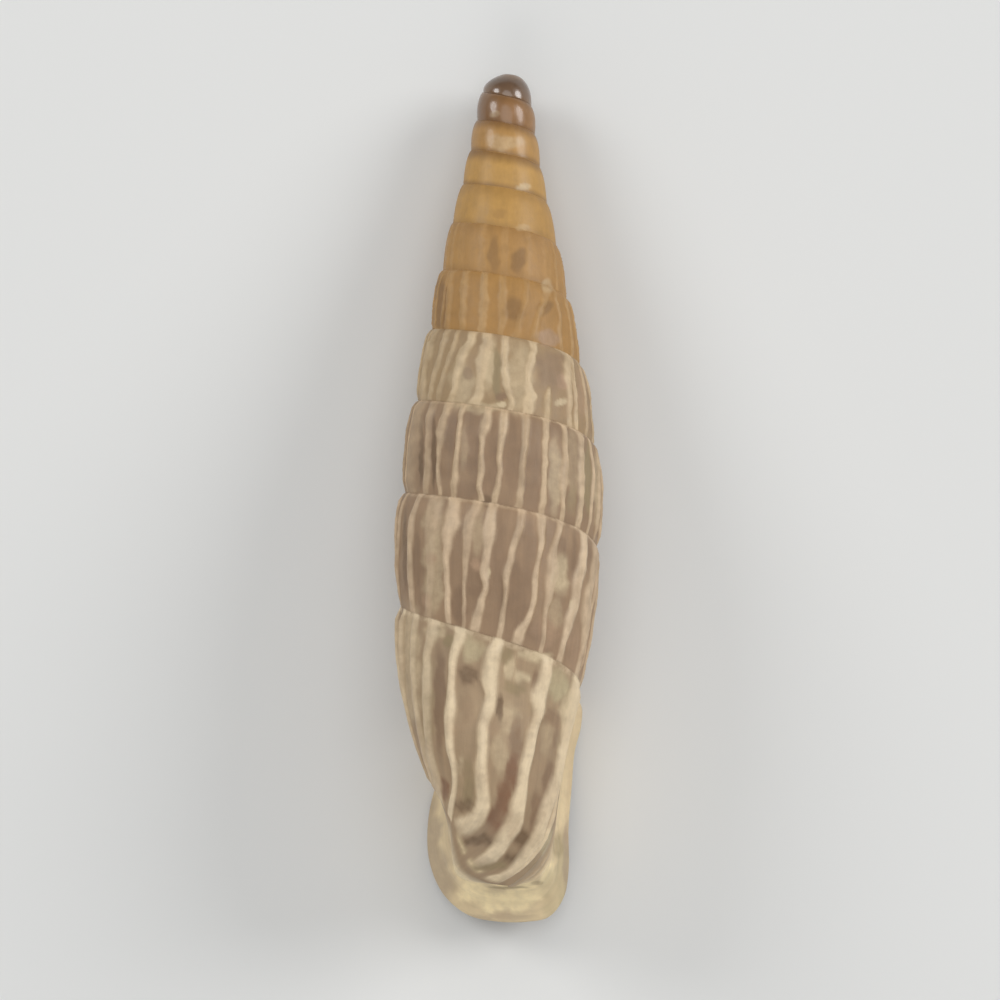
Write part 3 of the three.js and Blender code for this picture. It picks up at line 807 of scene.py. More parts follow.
@dataclass
class Whorls:
    """The band of whorls wound from the apex, with its ribs, rounded over under the last whorl."""

    coil: Coil
    ribs: Ribs
    seen: BackView
    # Columns to a turn above the ribs, and how far the last of them stays from the first rib, in turns.
    smooth_columns: int = 72
    smooth_end: float = 0.02
    # Columns beside a crest, in its half widths, how much of a gap they may take, and the spacing of
    # those between them, in degrees.
    near_crest: Sequence[float] = (0.0, 0.28, 0.55, 0.8, 1.05, 1.35)
    most_near: float = 0.8
    valley_step: float = 1.5
    # How far a rib's relief and its pale top reach, in half widths, and how rough its top is, in mm.
    rib_reach: float = 1.35
    pale_edge: tuple[float, float] = (1.3, 0.6)
    grain: float = 0.004
    # How brown the valleys between the ribs are, by the turn, and how much that varies.
    stain: Table = ((6.9, 0.0), (7.1, 0.1), (7.9, 0.2), (8.1, 0.5), (9.9, 0.5), (10.1, 0.3), (10.6, 0.3))
    stain_knots: int = 9
    stain_varies: float = 0.7
    # Marks of the back fade out here, by the height of the surface round the axis.
    back_edge: tuple[float, float] = (-0.1, 0.1)
    # Underside of the last whorl: the point that it rounds over to, its rows as parts of the way, how
    # far it goes on in mm before it turns, the turns between which that fades, how brown it is, and how
    # many turns its line from the end on leaves out.
    hub: Sequence[float] = (-0.3, 1.15, -1.85)
    underside_rows: Sequence[float] = (0.04, 0.09, 0.16, 0.24, 0.33, 0.43, 0.54, 0.66, 0.8)
    underside_rounding: float = 0.3
    rounding_fades: tuple[float, float] = (10.5, 10.3)
    underside_stain: float = 0.4
    base_gap: float = 0.002
    # Where it draws out to a keel behind the lip, the turns between which it does, and the rows over
    # which it takes on the look of the lip.
    keel: Sequence[float] = (-0.75, 0.58, -1.85)
    keel_starts: tuple[float, float] = (9.95, 10.2)
    keel_ends: tuple[float, float] = (10.5, 10.4)
    lip_look: tuple[float, float] = (0.02, 0.36)

    def columns(self) -> tuple[Array, Array, Array, Array]:
        """Lays out the columns of points.

        Returns:
            The turn of each column at each row, its relief in mm, how much of a crest it is, and how
            brown it is.
        """
        ribs, rows = self.ribs, self.ribs.rows
        rng = np.random.default_rng(SEED + 1)
        smooth = round((ribs.crests[0].min() - self.smooth_end) * self.smooth_columns)
        turns = [np.full(len(rows), k / self.smooth_columns) for k in range(1, smooth)]
        relief, crest, brown = ([np.zeros(len(rows))] * len(turns) for _ in range(3))
        stains = wander(rng, len(ribs.crests), self.stain_knots, rows)
        for k, left in enumerate(ribs.crests):
            final = k == len(ribs.crests) - 1
            right = np.full(len(rows), self.coil.end) if final else ribs.crests[k + 1]
            for u in self.stops(k, float(np.mean(right - left)), final):
                at = lerp(left, right, u)
                high, pale = self.profile(k, at - left)
                if not final:
                    other = self.profile(k + 1, right - at)
                    high, pale = np.maximum(high, other[0]), np.maximum(pale, other[1])
                turns.append(at)
                relief.append(high * (u < 1))
                crest.append(pale)
                brown.append(np.clip(along(self.stain, at) * (1 + self.stain_varies * stains[k]), 0, 1))
        return tuple(np.stack(part, 1) for part in (turns, relief, crest, brown))

    def stops(self, k: int, gap: float, final: bool) -> Array:
        """Where the columns stand between a crest and the next, as parts of that gap.

        Args:
            k: Number of the crest.
            gap: The mean gap, in turns.
            final: Whether it is the last crest.

        Returns:
            Their places, from 0. The next crest isn't among them, unless this one is the last.
        """
        stops = np.array(self.near_crest)
        near = stops * float(np.mean(self.ribs.widths[k])) / gap
        if final:
            far = np.array([1.0])
        else:
            far = 1 - stops[:0:-1] * float(np.mean(self.ribs.widths[k + 1])) / gap
        crowd = (near[-1] + 1 - far[0]) / self.most_near
        if crowd > 1:
            near, far = near / crowd, 1 - (1 - far) / crowd
        count = max(1, math.ceil((far[0] - near[-1]) * gap * 360 / self.valley_step) - 1)
        return np.concatenate([near, np.linspace(near[-1], far[0], count + 2)[1:-1], far])

    def profile(self, k: int, distance: Array) -> tuple[Array, Array]:
        """Section of a rib.

        Args:
            k: Number of its crest.
            distance: Distance from the crest at each row, in turns.

        Returns:
            Its relief there in mm, and how much of a crest it is.
        """
        near = np.abs(distance) / self.ribs.widths[k]
        bell = (1 - np.clip(near / self.rib_reach, 0, 1) ** 2) ** 2
        return self.ribs.heights[k] * bell, self.ribs.tones[k] * smoothstep(near, *self.pale_edge)

    def solid(self) -> Solid:
        """Builds the whorls.

        Returns:
            The closed solid: the band, its apex, its seam from whorl to whorl and its underside.
        """
        made = Solid("whorls")
        coil, rows = self.coil, self.ribs.rows
        turns, relief, crest, brown = self.columns()
        rng = np.random.default_rng(SEED + 2)
        relief = relief + self.grain * rng.normal(size=relief.shape) * crest * (relief > 0)
        ids = []
        for r, v in enumerate(rows):
            points = coil.point(turns[r], np.full(turns.shape[1], v), relief[r])
            on_back = smoothstep(np.sin(2 * np.pi * turns[r]), *self.back_edge)
            signals = self.seen.shown(self.seen.marks, points, on_back)
            signals.update(crest=crest[r], stain=brown[r])
            ids.append(made.add(points, age=turns[r], across=v, lines=coil.arc(turns[r]), **signals))
        apex = made.add(np.array([0, coil.growth[0][1], 0.0]))[0]
        hub = made.add(np.array(self.hub), age=coil.end)[0]
        for upper, lower in zip(ids[:-1], ids[1:]):
            made.strip(upper, lower)

        low = turns[-1] + 1
        base_at = low[low > coil.end + self.base_gap] - 1
        base_points = coil.point(base_at, np.ones(len(base_at)))
        base = made.add(
            base_points, age=base_at, across=1.0, lines=coil.arc(base_at), stain=self.underside_stain
        )
        first = int(np.argmax(turns[0] >= 1))
        seam = np.concatenate([ids[0][first:], base])
        made.lace(ids[-1], low, seam, np.concatenate([turns[0][first:], base_at + 1]))
        made.fan(apex, np.array([seam[0], *[row[0] for row in reversed(ids)]]))
        made.fan(apex, ids[0][: first + 1])

        rim = np.append(ids[0][-1], base)
        under = [rim, *self.underside(made, np.append(turns[0][-1] - 1, base_at))]
        for upper, lower in zip(under[:-1], under[1:]):
            made.strip(upper, lower)
        made.fan(hub, under[-1][::-1])
        end = [row[0] for row in reversed(under[1:])] + [row[-1] for row in ids] + [row[-1] for row in under]
        made.fan(hub, np.array(end))
        return made

    def underside(self, made: Solid, at: Array) -> list[Array]:
        """Adds the rows of points that round the last whorl over to the hub.

        Args:
            made: The solid of the whorls.
            at: Turns of the columns of its base line.

        Returns:
            The numbers of the points of each row, without the base line.
        """
        rim = self.coil.point(at, np.ones(len(at)))
        down = rim - self.coil.point(at, np.full(len(at), self.ribs.rows[-2]))
        down *= self.underside_rounding / np.linalg.norm(down, axis=1, keepdims=True)
        down *= smoothstep(at, *self.rounding_fades)[:, None]
        hub = np.array(self.hub)[None, :]
        drawn = smoothstep(at, *self.keel_starts) * smoothstep(at, *self.keel_ends)
        keel = lerp(lerp(rim + down, hub, 0.5), np.array(self.keel)[None, :], drawn[:, None])
        rows = []
        for t in self.underside_rows:
            lip = float(smoothstep(t, *self.lip_look))
            points = bezier([rim, rim + down, keel, hub], t)
            signals = self.seen.shown(self.seen.lip_marks, points, lip)
            signals.update(lip=lip, stain=self.underside_stain * (1 - lip))
            rows.append(made.add(points, age=at, across=1.0, lines=self.coil.arc(at), **signals))
        return rows


@dataclass
class Lip:
    """Outline of the lip and the plane that it lies in, in mm."""

    # Seen from the back, x and a: from the upper right corner down the outer side to the lowest point,
    # and then up the inner side and back to that corner.
    outer_side: Path = (
        (1.76, 4.42), (1.77, 4), (1.65, 3.45), (1.61, 2.8), (1.56, 1.9), (1.58, 1.05), (1.49, 0.48),
        (1.2, 0.08),
    )
    inner_side: Path = (
        (0.75, -0.03), (0.15, -0.03), (-0.42, 0.1), (-0.92, 0.52), (-1.21, 1.15), (-1.28, 1.85), (-1.17, 2.6),
        (-0.86, 3.32), (-0.36, 3.9), (0.35, 4.34), (1.05, 4.6), (1.52, 4.66),
    )
    centre: tuple[float, float] = (0.28, 2.15)
    # How far the lip stands out of the back, which is less than nothing: at the axis, by x and by a, and
    # by the square of the distance from the middle of its bow.
    depth: float = -2.4
    slope_x: float = 0.075
    slope_a: float = -0.02
    bow: float = -0.08
    bow_middle: float = 0.4

    def point(self, s: Array, size: float, depth: float) -> Array:
        """Points round the lip.

        Args:
            s: Places round it: the outer side up to 0.5, and then the inner side.
            size: Size of the ring as a part of the lip.
            depth: Distance from the lip's plane, towards the back.

        Returns:
            One row for each place.
        """
        corners = np.array([*self.outer_side, *self.inner_side])
        outer, inner = len(self.outer_side), len(self.inner_side)
        at = np.where(s < 0.5, 2 * s * outer, outer + (2 * s - 1) * inner)
        edge = self.closed_curve(corners, at)
        x = lerp(self.centre[0], edge[:, 0], size)
        a = lerp(self.centre[1], edge[:, 1], size)
        plane = self.depth + self.slope_a * a + self.slope_x * x + self.bow * (x - self.bow_middle) ** 2
        return np.stack([x, a, plane + depth], -1)

    @staticmethod
    def closed_curve(corners: Array, at: Array) -> Array:
        """A smooth closed curve through corners, at places counted in corners.

        Args:
            corners: Its corners. The speed along it goes by the square root of their distances.
            at: Places on it.

        Returns:
            One row for each place.
        """
        count = len(corners)
        k = np.floor(at).astype(int)
        t = (at - k)[:, None]
        p = [corners[(k + step) % count] for step in (-1, 0, 1, 2)]
        gaps = [np.sqrt(np.linalg.norm(p[i + 1] - p[i], axis=1))[:, None] for i in range(3)]
        leave = (p[1] - p[0]) / gaps[0] - (p[2] - p[0]) / (gaps[0] + gaps[1]) + (p[2] - p[1]) / gaps[1]
        arrive = (p[2] - p[1]) / gaps[1] - (p[3] - p[1]) / (gaps[1] + gaps[2]) + (p[3] - p[2]) / gaps[2]
        return hermite(p[1], leave * gaps[1], p[2], arrive * gaps[1], t)


@dataclass
class Neck:
    """The tube from the last whorl to the lip."""

    coil: Coil
    lip: Lip
    seen: BackView
    points_round: int = 120
    steps_of_neck: int = 40
    # Place along the flare, size as a part of the lip and depth from its plane.
    flare: Table = (
        (0.0, 0.72, 0.95), (0.3, 0.76, 0.55), (0.6, 0.87, 0.2), (0.8, 0.975, 0.02),
        (0.87, 0.995, -0.02), (0.92, 1.0, -0.06), (0.96, 0.99, -0.1), (1.0, 0.965, -0.125),
    )
    steps_of_flare: int = 26
    # Its first section runs back up beside the axis: distance from the axis and height. It starts sunk
    # under the end of the whorls, comes out a little proud of them and bends over its reach, in mm.
    inner_line: Path = ((-0.15, 1.2), (-0.1, 2.3), (0.25, 3.3), (0.95, 4))
    sunk_turns: float = 0.06
    sunk_depth: float = 0.06
    proud: float = 0.006
    reach: float = 0.7
    # Its low ribs: places along it, height in mm, tone, half width along it, and the places round it
    # between which they appear and fade.
    ribs: Sequence[float] = (0.46, 0.74)
    rib_height: float = 0.03
    rib_tone: float = 0.4
    rib_half_width: float = 0.09
    rib_appears: tuple[float, float] = (0.03, 0.12)
    rib_fades: tuple[float, float] = (0.5, 0.66)
    # Growth lines of the flare, in mm, and how close they follow.
    growth_line: float = 0.012
    growth_waves: float = 31.0
    # Places along the neck where the look of the body fades and that of the lip comes in.
    body_look: tuple[float, float] = (0.35, 0.05)
    lip_look: tuple[float, float] = (0.45, 0.95)
    stain: float = 0.3

    def section(self, turn: float, sink: float, s: Array) -> Array:
        """Section of the last whorl: its outside up to s of 0.5, then a line back beside the axis.

        Args:
            turn: Turn of the section.
            sink: How far it lies under the outside, in mm.
            s: Places round it.

        Returns:
            One row for each place.
        """
        outside = self.coil.point(np.full(len(s), turn), np.clip(2 * s, 0, 1), -sink)
        ends = self.coil.point(np.full(2, turn), np.array([1.0, 0.0]))
        line = [around_axis(turn, radius, height) for radius, height in self.inner_line]
        corners = np.array([ends[0], *line, ends[1]])
        table = np.column_stack([np.arange(len(corners)), corners])
        at = np.clip(2 * s - 1, 0, 1) * (len(corners) - 1)
        inside = np.stack([along(table, at, axis + 1) for axis in range(3)], -1)
        return np.where((s <= 0.5)[:, None], outside, inside)

    def rings(self, s: Array) -> list[tuple[Array, float, Array | float, float]]:
        """Rings of points from the last whorl to the lip.

        Args:
            s: Places round each ring.

        Returns:
            For each ring its points, its place up to 1 at the end of the neck and 2 at the lip, and how
            much of a crest and of the lip it is.
        """
        start = self.section(self.coil.end, -self.proud, s)
        throat = self.lip.point(s, *self.flare[0][1:])
        ahead = np.array([0, 0, -self.reach])
        outward = self.lip.point(s, 1, 0) - self.lip.point(s, 0, 0)
        outward /= np.linalg.norm(outward, axis=1, keepdims=True)
        shown = smoothstep(s, *self.rib_appears) * (1 - smoothstep(s, *self.rib_fades))
        made = [(self.section(self.coil.end - self.sunk_turns, self.sunk_depth, s), 0.0, 0.0, 0.0)]
        for t in np.linspace(0, 1, self.steps_of_neck, endpoint=False):
            near = min(abs(t - crest) for crest in self.ribs) / self.rib_half_width
            rib = (1 - min(near, 1) ** 2) ** 2 * shown
            ring = bezier([start, start + ahead, throat - ahead, throat], t)
            ring = ring + outward * (self.rib_height * rib)[:, None]
            made.append((ring, t, self.rib_tone * rib, float(smoothstep(t, *self.lip_look))))
        for t in np.linspace(0, 1, self.steps_of_flare):
            ring = self.lip.point(s, along(self.flare, t, 1), along(self.flare, t, 2))
            swell = self.growth_line * math.sin(t * self.growth_waves) * math.sin(t * math.pi)
            made.append((ring + outward * swell, 1 + t, 0.0, 1.0))
        return made

    def solid(self) -> Solid:
        """Builds the neck and the outside of the lip."""
        made = Solid("neck")
        s = np.arange(self.points_round) / self.points_round
        rings = self.rings(s)
        first_line = self.coil.arc(self.coil.end)
        rows = []
        for ring, place, crest, lip in rings:
            body = float(smoothstep(place, *self.body_look))
            signals = self.seen.shown(self.seen.lip_marks, ring, lip)
            for name, value in self.seen.shown(self.seen.marks, ring, body).items():
                signals[name] = np.maximum(signals[name], value)
            signals.update(crest=crest, lip=lip, stain=self.stain * body)
            age = self.coil.end + place / 2
            rows.append(made.add(ring, age=age, across=s, lines=first_line + place, **signals))
        made.tube(rows, (rings[0][0], rings[-1][0]))
        return made


@dataclass
class Hollow:
    """The hollow of the tube, from the mouth up the coil."""

    coil: Coil
    lip: Lip
    # The wall and the pillar round the axis, as parts of the suture's distance from the axis, and the
    # least wall in mm. The floor is thicker in the last half turn.
    wall_share: float = 0.08
    wall_least: float = 0.06
    pillar_share: float = 0.16
    floor: Table = ((9, 0), (9.7, 0.05), (10.1, 0.2), (10.5, 0.3))
    squareness: float = 0.72
    # Where the hollow ends up the coil, and the steps in turns and the points of its rings.
    end: float = 1.6
    step: float = 1 / 20
    points_round: int = 20
    # The funnel from the mouth is finer, and the rest starts a little inside it.
    funnel_end: float = 10.0
    funnel_step: float = 1 / 40
    funnel_points: int = 72
    overlap_turns: float = 0.1
    overlap_inset: float = 0.03
    # Place along the mouth, size as a part of the lip and depth from its plane.
    mouth: Table = (
        (0.0, 0.95, -0.5), (0.25, 0.925, -0.14), (0.32, 0.9, -0.09), (0.5, 0.8, 0.06), (0.75, 0.66, 0.4),
        (1.0, 0.6, 0.9),
    )
    steps_of_mouth: int = 26
    steps_of_throat: int = 14
    # Ridges inside the mouth: place round it and height, half width, and depth where they are full.
    lamellae: Path = ((0.9, 0.34), (0.7, 0.22))
    lamella_half_width: float = 0.06
    lamella_full: float = 0.3
    # How far the growth lines go on from ring to ring.
    line_step: float = 0.1

    def section(self, turn: float, s: Array, inset: float = 0.0) -> Array:
        """Section of the hollow inside a whorl.

        Args:
            turn: Turn of the section.
            s: Places round it.
            inset: How much smaller it is, in mm.

        Returns:
            One row for each place.
        """
        reach, top, bottom = self.coil.reach(turn), self.coil.height(turn), self.coil.height(turn + 1)
        wall = np.maximum(self.wall_least, self.wall_share * reach) + inset
        pillar = self.pillar_share * reach + inset
        angle = 2 * np.pi * (0.25 - s)
        across = 0.5 - 0.5 * self.rounded(np.sin(angle))
        outward = 0.5 + 0.5 * self.rounded(np.cos(angle))
        height = lerp(top - wall, bottom + wall + along(self.floor, turn), across)
        outer = self.coil.radius(turn, (height - top) / (bottom - top)) - wall
        outer = np.maximum(outer, pillar + self.wall_least)
        point = around_axis(turn, lerp(pillar, outer, outward), height)
        point[:, 0] += along(self.coil.sway, height)
        return point

    def rounded(self, value: Array) -> Array:
        """Part of a circle's reach, drawn out towards a square."""
        return np.sign(value) * np.abs(value) ** self.squareness

    def funnel(self) -> Solid:
        """Builds the funnel from in front of the lip into the last whorl."""
        s = np.arange(self.funnel_points) / self.funnel_points
        rings = []
        for t in np.linspace(0, 1, self.steps_of_mouth):
            depth = float(along(self.mouth, t, 2))
            ring = self.lip.point(s, along(self.mouth, t, 1), depth)
            rise = float(smoothstep(depth, 0, self.lamella_full))
            for place, height in self.lamellae if depth > 0 else ():
                near = np.clip(1 - np.abs(s - place) / self.lamella_half_width, 0, 1)
                inward = self.lip.point(s, 0, depth) - ring
                inward /= np.linalg.norm(inward, axis=1, keepdims=True)
                ring = ring + inward * (rise * height * smoothstep(near, 0, 1))[:, None]
            rings.append(ring)
        throat, start = rings[-1], self.section(self.coil.end, s)
        for t in np.linspace(0, 1, self.steps_of_throat, endpoint=False)[1:]:
            rings.append(lerp(throat, start, t))
        turns = np.arange(self.coil.end, self.funnel_end - self.funnel_step / 2, -self.funnel_step)
        rings.extend(self.section(turn, s) for turn in turns)
        return self.tube("funnel", rings)

    def coil_hollow(self) -> Solid:
        """Builds the rest of the hollow, up the coil."""
        s = np.arange(self.points_round) / self.points_round
        overlap = (self.funnel_end + self.overlap_turns, self.funnel_end)
        rings = [self.section(turn, s, self.overlap_inset) for turn in overlap]
        turns = np.arange(self.funnel_end - self.step, self.end, -self.step)
        rings.extend(self.section(turn, s) for turn in turns)
        return self.tube("coil_hollow", rings)

    def tube(self, name: str, rings: list[Array]) -> Solid:
        """A closed tube.

        Args:
            name: Its name.
            rings: The rings of points that it goes through.

        Returns:
            The solid of the tube, which has the look of the inside.
        """
        made = Solid(name)
        rows = []
        for k, ring in enumerate(rings):
            across = np.arange(len(ring)) / len(ring)
            signals = {"inside": 1.0, "across": across, "lines": k * self.line_step}
            rows.append(made.add(ring, age=self.coil.end, **signals))
        made.tube(rows, (rings[0], rings[-1]), inside=1.0)
        return made


class Value:
    """A socket of a shader. Sums and products with it add Math nodes."""

    def __init__(self, graph: "Graph", socket: bpy.types.NodeSocket) -> None:
        """Wraps a socket."""
        self.graph = graph
        self.socket = socket

    def __add__(self, other: "Value | float") -> "Value":
        """Sum."""
        return self.graph.math("ADD", self, other)

    def __sub__(self, other: "Value | float") -> "Value":
        """Difference."""
        return self.graph.math("SUBTRACT", self, other)

    def __rsub__(self, other: "Value | float") -> "Value":
        """Difference from a number."""
        return self.graph.math("SUBTRACT", other, self)

    def __mul__(self, other: "Value | float") -> "Value":
        """Product."""
        return self.graph.math("MULTIPLY", self, other)

    __radd__ = __add__

    def within(self, low: float, high: float, smooth: bool = True) -> "Value":
        """Rises from 0 where the value is low to 1 where it is high.

        Args:
            low: The value that gives 0.
            high: The value that gives 1. It may be the lesser one.
            smooth: Whether it eases in and out.

        Returns:
            The result, from 0 to 1.
        """
        settings = {"interpolation_type": "SMOOTHSTEP" if smooth else "LINEAR"}
        inputs = {"Value": self, "From Min": low, "From Max": high}
        return self.graph.node("ShaderNodeMapRange", settings, inputs)


class Graph:
    """The nodes of one material."""

    def __init__(self, name: str) -> None:
        """Starts a material with a Principled shader."""
        self.material = bpy.data.materials.new(name)
        self.material.use_nodes = True
        self.tree = self.material.node_tree
        self.shader = next(node for node in self.tree.nodes if node.type == "BSDF_PRINCIPLED")

    def node(
        self, kind: str, settings: dict[str, Any], inputs: dict[str | int, Any], output: str | int = 0
    ) -> Value:
        """Adds a node.

        Args:
            kind: Its type.
            settings: Its properties, or the stops of a ramp.
            inputs: Values or links, by the name, identifier or number of the socket.
            output: The output to use, in the same way.

        Returns:
            That output.
        """
        made = self.tree.nodes.new(kind)
        for name, value in settings.items():
            if name == "stops":
                self.set_stops(made.color_ramp, value)
            else:
                setattr(made, name, value)
        for name, value in inputs.items():
            self.feed(self.find(made.inputs, name), value)
        return Value(self, self.find(made.outputs, output))

    def feed(self, socket: bpy.types.NodeSocket, value: Any) -> None:
        """Links a value to a socket, or sets it there."""
        if isinstance(value, Value):
            self.tree.links.new(value.socket, socket)
        else:
            socket.default_value = value

    @staticmethod
    def find(sockets: Any, name: str | int) -> bpy.types.NodeSocket:
        """Finds a socket by its number, identifier or name."""
        if isinstance(name, int):
            return sockets[name]
        return next((s for s in sockets if s.identifier == name), None) or sockets[name]

    @staticmethod
    def set_stops(ramp: bpy.types.ColorRamp, stops: Sequence[tuple[float, Paint]]) -> None:
        """Puts stops on a colour ramp."""
        while len(ramp.elements) < len(stops):
            ramp.elements.new(1.0)
        for element, (position, paint) in zip(ramp.elements, stops):
            element.position = position
            element.color = paint.linear()

    def math(self, operation: str, first: Value | float, second: Value | float) -> Value:
        """Adds a Math node."""
        return self.node("ShaderNodeMath", {"operation": operation}, {0: first, 1: second})

    def signal(self, name: str) -> Value:
        """Reads a signal that the vertices carry."""
        settings = {"attribute_type": "GEOMETRY", "attribute_name": name}
        return self.node("ShaderNodeAttribute", settings, {}, "Fac")

    def mix(self, factor: Value | float, first: Value | Paint, second: Value | Paint) -> Value:
        """Mixes two colours.

        Args:
            factor: How much of the second colour there is.
            first: The first colour.
            second: The second colour.

        Returns:
            The mixed colour.
        """
        colours = [c.linear() if isinstance(c, Paint) else c for c in (first, second)]
        inputs = {"Factor_Float": factor, "A_Color": colours[0], "B_Color": colours[1]}
        return self.node("ShaderNodeMix", {"data_type": "RGBA"}, inputs, "Result_Color")

    def shade(self, colour: Value, amount: Value) -> Value:
        """Makes a colour lighter or darker by an amount that is 1 where it stays."""
        grey = self.vector(amount, amount, amount)
        return self.node("ShaderNodeVectorMath", {"operation": "MULTIPLY"}, {0: colour, 1: grey})

    def vector(self, x: Value | float, y: Value | float, z: Value | float) -> Value:
        """Puts a vector together."""
        return self.node("ShaderNodeCombineXYZ", {}, {0: x, 1: y, 2: z})

    def noise(self, where: Value, scale: float, detail: float = 3.0, roughness: float = 0.55) -> Value:
        """Soft noise from 0 to 1, with this many waves to a unit and finer ones of this roughness."""
        inputs = {"Vector": where, "Scale": scale, "Detail": detail, "Roughness": roughness}
        return self.node("ShaderNodeTexNoise", {"noise_dimensions": "3D"}, inputs, "Fac")


@dataclass(frozen=True)
class ShellFinish:
    """Finish of the shell: horn-brown and glossy at the apex, chalky and pale with brown valleys below."""

    # Colours of the valleys and of the ribs' crests by the turn, and the turn where their ramps end.
    valleys: Sequence[tuple[float, Paint]] = (
        (0.0, Paint(74, 52, 34)), (0.92, Paint(94, 66, 40)), (1.12, Paint(122, 86, 50)),
        (1.3, Paint(144, 103, 60)), (2.3, Paint(176, 132, 70)), (3.3, Paint(184, 141, 74)),
        (4.3, Paint(180, 137, 71)), (5.3, Paint(170, 127, 69)), (6.52, Paint(164, 122, 65)),
        (7.02, Paint(163, 136, 98)), (8.1, Paint(154, 126, 96)), (9.2, Paint(162, 133, 102)),
        (9.9, Paint(156, 128, 97)), (10.2, Paint(172, 147, 115)), (10.6, Paint(172, 147, 115)),
    )
    crests: Sequence[tuple[float, Paint]] = (
        (5.2, Paint(178, 138, 86)), (6.52, Paint(182, 146, 98)), (7.02, Paint(206, 182, 145)),
        (8.2, Paint(203, 177, 143)), (9.3, Paint(205, 179, 147)), (10.0, Paint(224, 202, 167)),
        (10.6, Paint(226, 204, 169)),
    )
    turns: float = 12.0
    # Colour of the bands along the sutures of the tan whorls: painted shade of the sunken suture, over the
    # darker shell that shows there.
    suture: Paint = Paint(120, 84, 44)
    cap_foot: Paint = Paint(112, 80, 48)
    # The lip's pale yellow and its darker growth bands, both lighter than their own colour to offset the
    # shadow of the body over the lip: partly painted light.
    lip: Paint = Paint(226, 204, 163)
    lip_shade: Paint = Paint(210, 187, 149)
    inside: Paint = Paint(186, 160, 124)
    # Noises, in waves to a metre: broad blotches, clouds, a mottle and a fine grain.
    blotches: float = 1400
    clouds: float = 3200
    mottles: float = 6000
    grains: float = 40000
    # Growth streaks, in waves along the tube, across the whorl and on the lip. The lip's rings have a
    # shift of their noise in the last place.
    streaks: Sequence[float] = (7.0, 1.6, 3.0)
    rings: Sequence[float] = (2.2, 2.5, 3.0)
    # The cap's brown foot, the sutures of the tan whorls darkened with painted shade and darker shell, and
    # the pale threads of the lower ones.
    foot: float = 0.8
    upper_suture_shade: float = 0.5
    middle_suture_shade: float = 0.25
    thread: float = 0.45
    rosiness: float = 0.22
    # How light the whole is, and how far streaks, mottle and clouds change it.
    light: float = 0.615
    streak_light: float = 0.35
    mottle_light: float = 0.22
    cloud_light: float = 0.2
    # Roughness at the apex, and what the tan whorls, the chalky ones and the mottle add to it.
    gloss: float = 0.32
    tan_roughness: float = 0.12
    chalk_roughness: float = 0.1
    mottle_roughness: float = 0.2
    # The coat of the cap and of the whorls below it.
    cap_coat: float = 0.6
    tan_coat: float = 0.15
    coat_roughness: float = 0.14
    coat_index: float = 1.7
    # Depth of the finest relief in metres, and the shares of streaks, grain and mottle in it.
    relief: float = 0.00001
    relief_shares: Sequence[float] = (0.7, 0.25, 0.5)

    def material(self) -> bpy.types.Material:
        """Builds the material."""
        g = Graph("shell")
        age, across, lines, crest = (g.signal(name) for name in ("age", "across", "lines", "crest"))
        lip, inside, stain = (g.signal(name) for name in ("lip", "inside", "stain"))
        place = g.node("ShaderNodeTexCoord", {}, {}, "Object")
        blotch = g.noise(place, self.blotches)
        cloud = g.noise(place, self.clouds, 2)
        mottle = g.noise(place, self.mottles, 4)
        grain = g.noise(place, self.grains, 2)
        along_tube, over_whorl, on_lip = self.streaks
        streak = g.noise(g.vector(lines * along_tube, across * over_whorl, lip * on_lip), 1.0, 4, 0.6)
        along_tube, over_whorl, shift = self.rings
        rings = g.noise(g.vector(lines * along_tube, across * over_whorl, shift), 1.0, 2)

        colour = g.mix(stain * (0.5 + mottle), self.ramp(g, age, self.valleys), Tint.BROWN.value)
        cap = across.within(0.1, 0.9) * age.within(1.0, 0.7)
        colour = g.mix(cap * self.foot, colour, self.cap_foot)
        # Dark bands along the sutures of the tan whorls: painted shade of the sunken suture, partly the
        # darker shell over it.
        band = across.within(0.38, 0.02) + across.within(0.8, 1.0) * 0.8
        suture_shade = age.within(4.2, 3.2) * self.upper_suture_shade + age.within(5.8, 5.3) * self.middle_suture_shade
        colour = g.mix(band * suture_shade, colour, self.suture)
        colour = g.mix(lip, colour, g.mix(rings.within(0.3, 0.7), self.lip_shade, self.lip))
        for tint in Tint:
            uneven = (g.signal(tint.signal) * (0.6 + mottle * 0.8)).within(0.05, 1.0)
            colour = g.mix(uneven, colour, tint.value)
        thread = across.within(0.035, 0.01) * age.within(7.5, 8.4) * (1 - lip) * self.thread
        ridge = crest * (0.35 + mottle * 0.6 + cloud * 0.6) + thread * mottle.within(0.3, 0.6)
        colour = g.mix(ridge.within(0.0, 1.05, False), colour, self.ramp(g, age, self.crests))
        rosy = blotch.within(0.5, 0.75) * age.within(6.5, 7.5)
        colour = g.mix(rosy * self.rosiness, colour, Tint.ROSY.value)
        colour = g.mix(inside, colour, self.inside)
        light = self.light + streak * self.streak_light + mottle * self.mottle_light
        g.feed(g.shader.inputs["Base Color"], g.shade(colour, light + cloud * self.cloud_light))

        tan, chalky = age.within(1.6, 2.8), age.within(3.2, 6.5)
        roughness = self.gloss + tan * self.tan_roughness + chalky * self.chalk_roughness
        g.feed(g.shader.inputs["Roughness"], roughness + (mottle - 0.5) * self.mottle_roughness)
        coat = age.within(1.5, 0.8) * self.cap_coat + age.within(3.0, 2.0) * self.tan_coat
        g.feed(g.shader.inputs["Coat Weight"], coat)
        g.feed(g.shader.inputs["Coat Roughness"], self.coat_roughness)
        g.feed(g.shader.inputs["Coat IOR"], self.coat_index)
        streak_share, grain_share, mottle_share = self.relief_shares
        height = streak * streak_share * (1 - inside) + grain * grain_share + mottle * mottle_share
        relief = {"Strength": 1.0, "Distance": self.relief, "Height": height}
        g.feed(g.shader.inputs["Normal"], g.node("ShaderNodeBump", {}, relief, "Normal"))
        return g.material

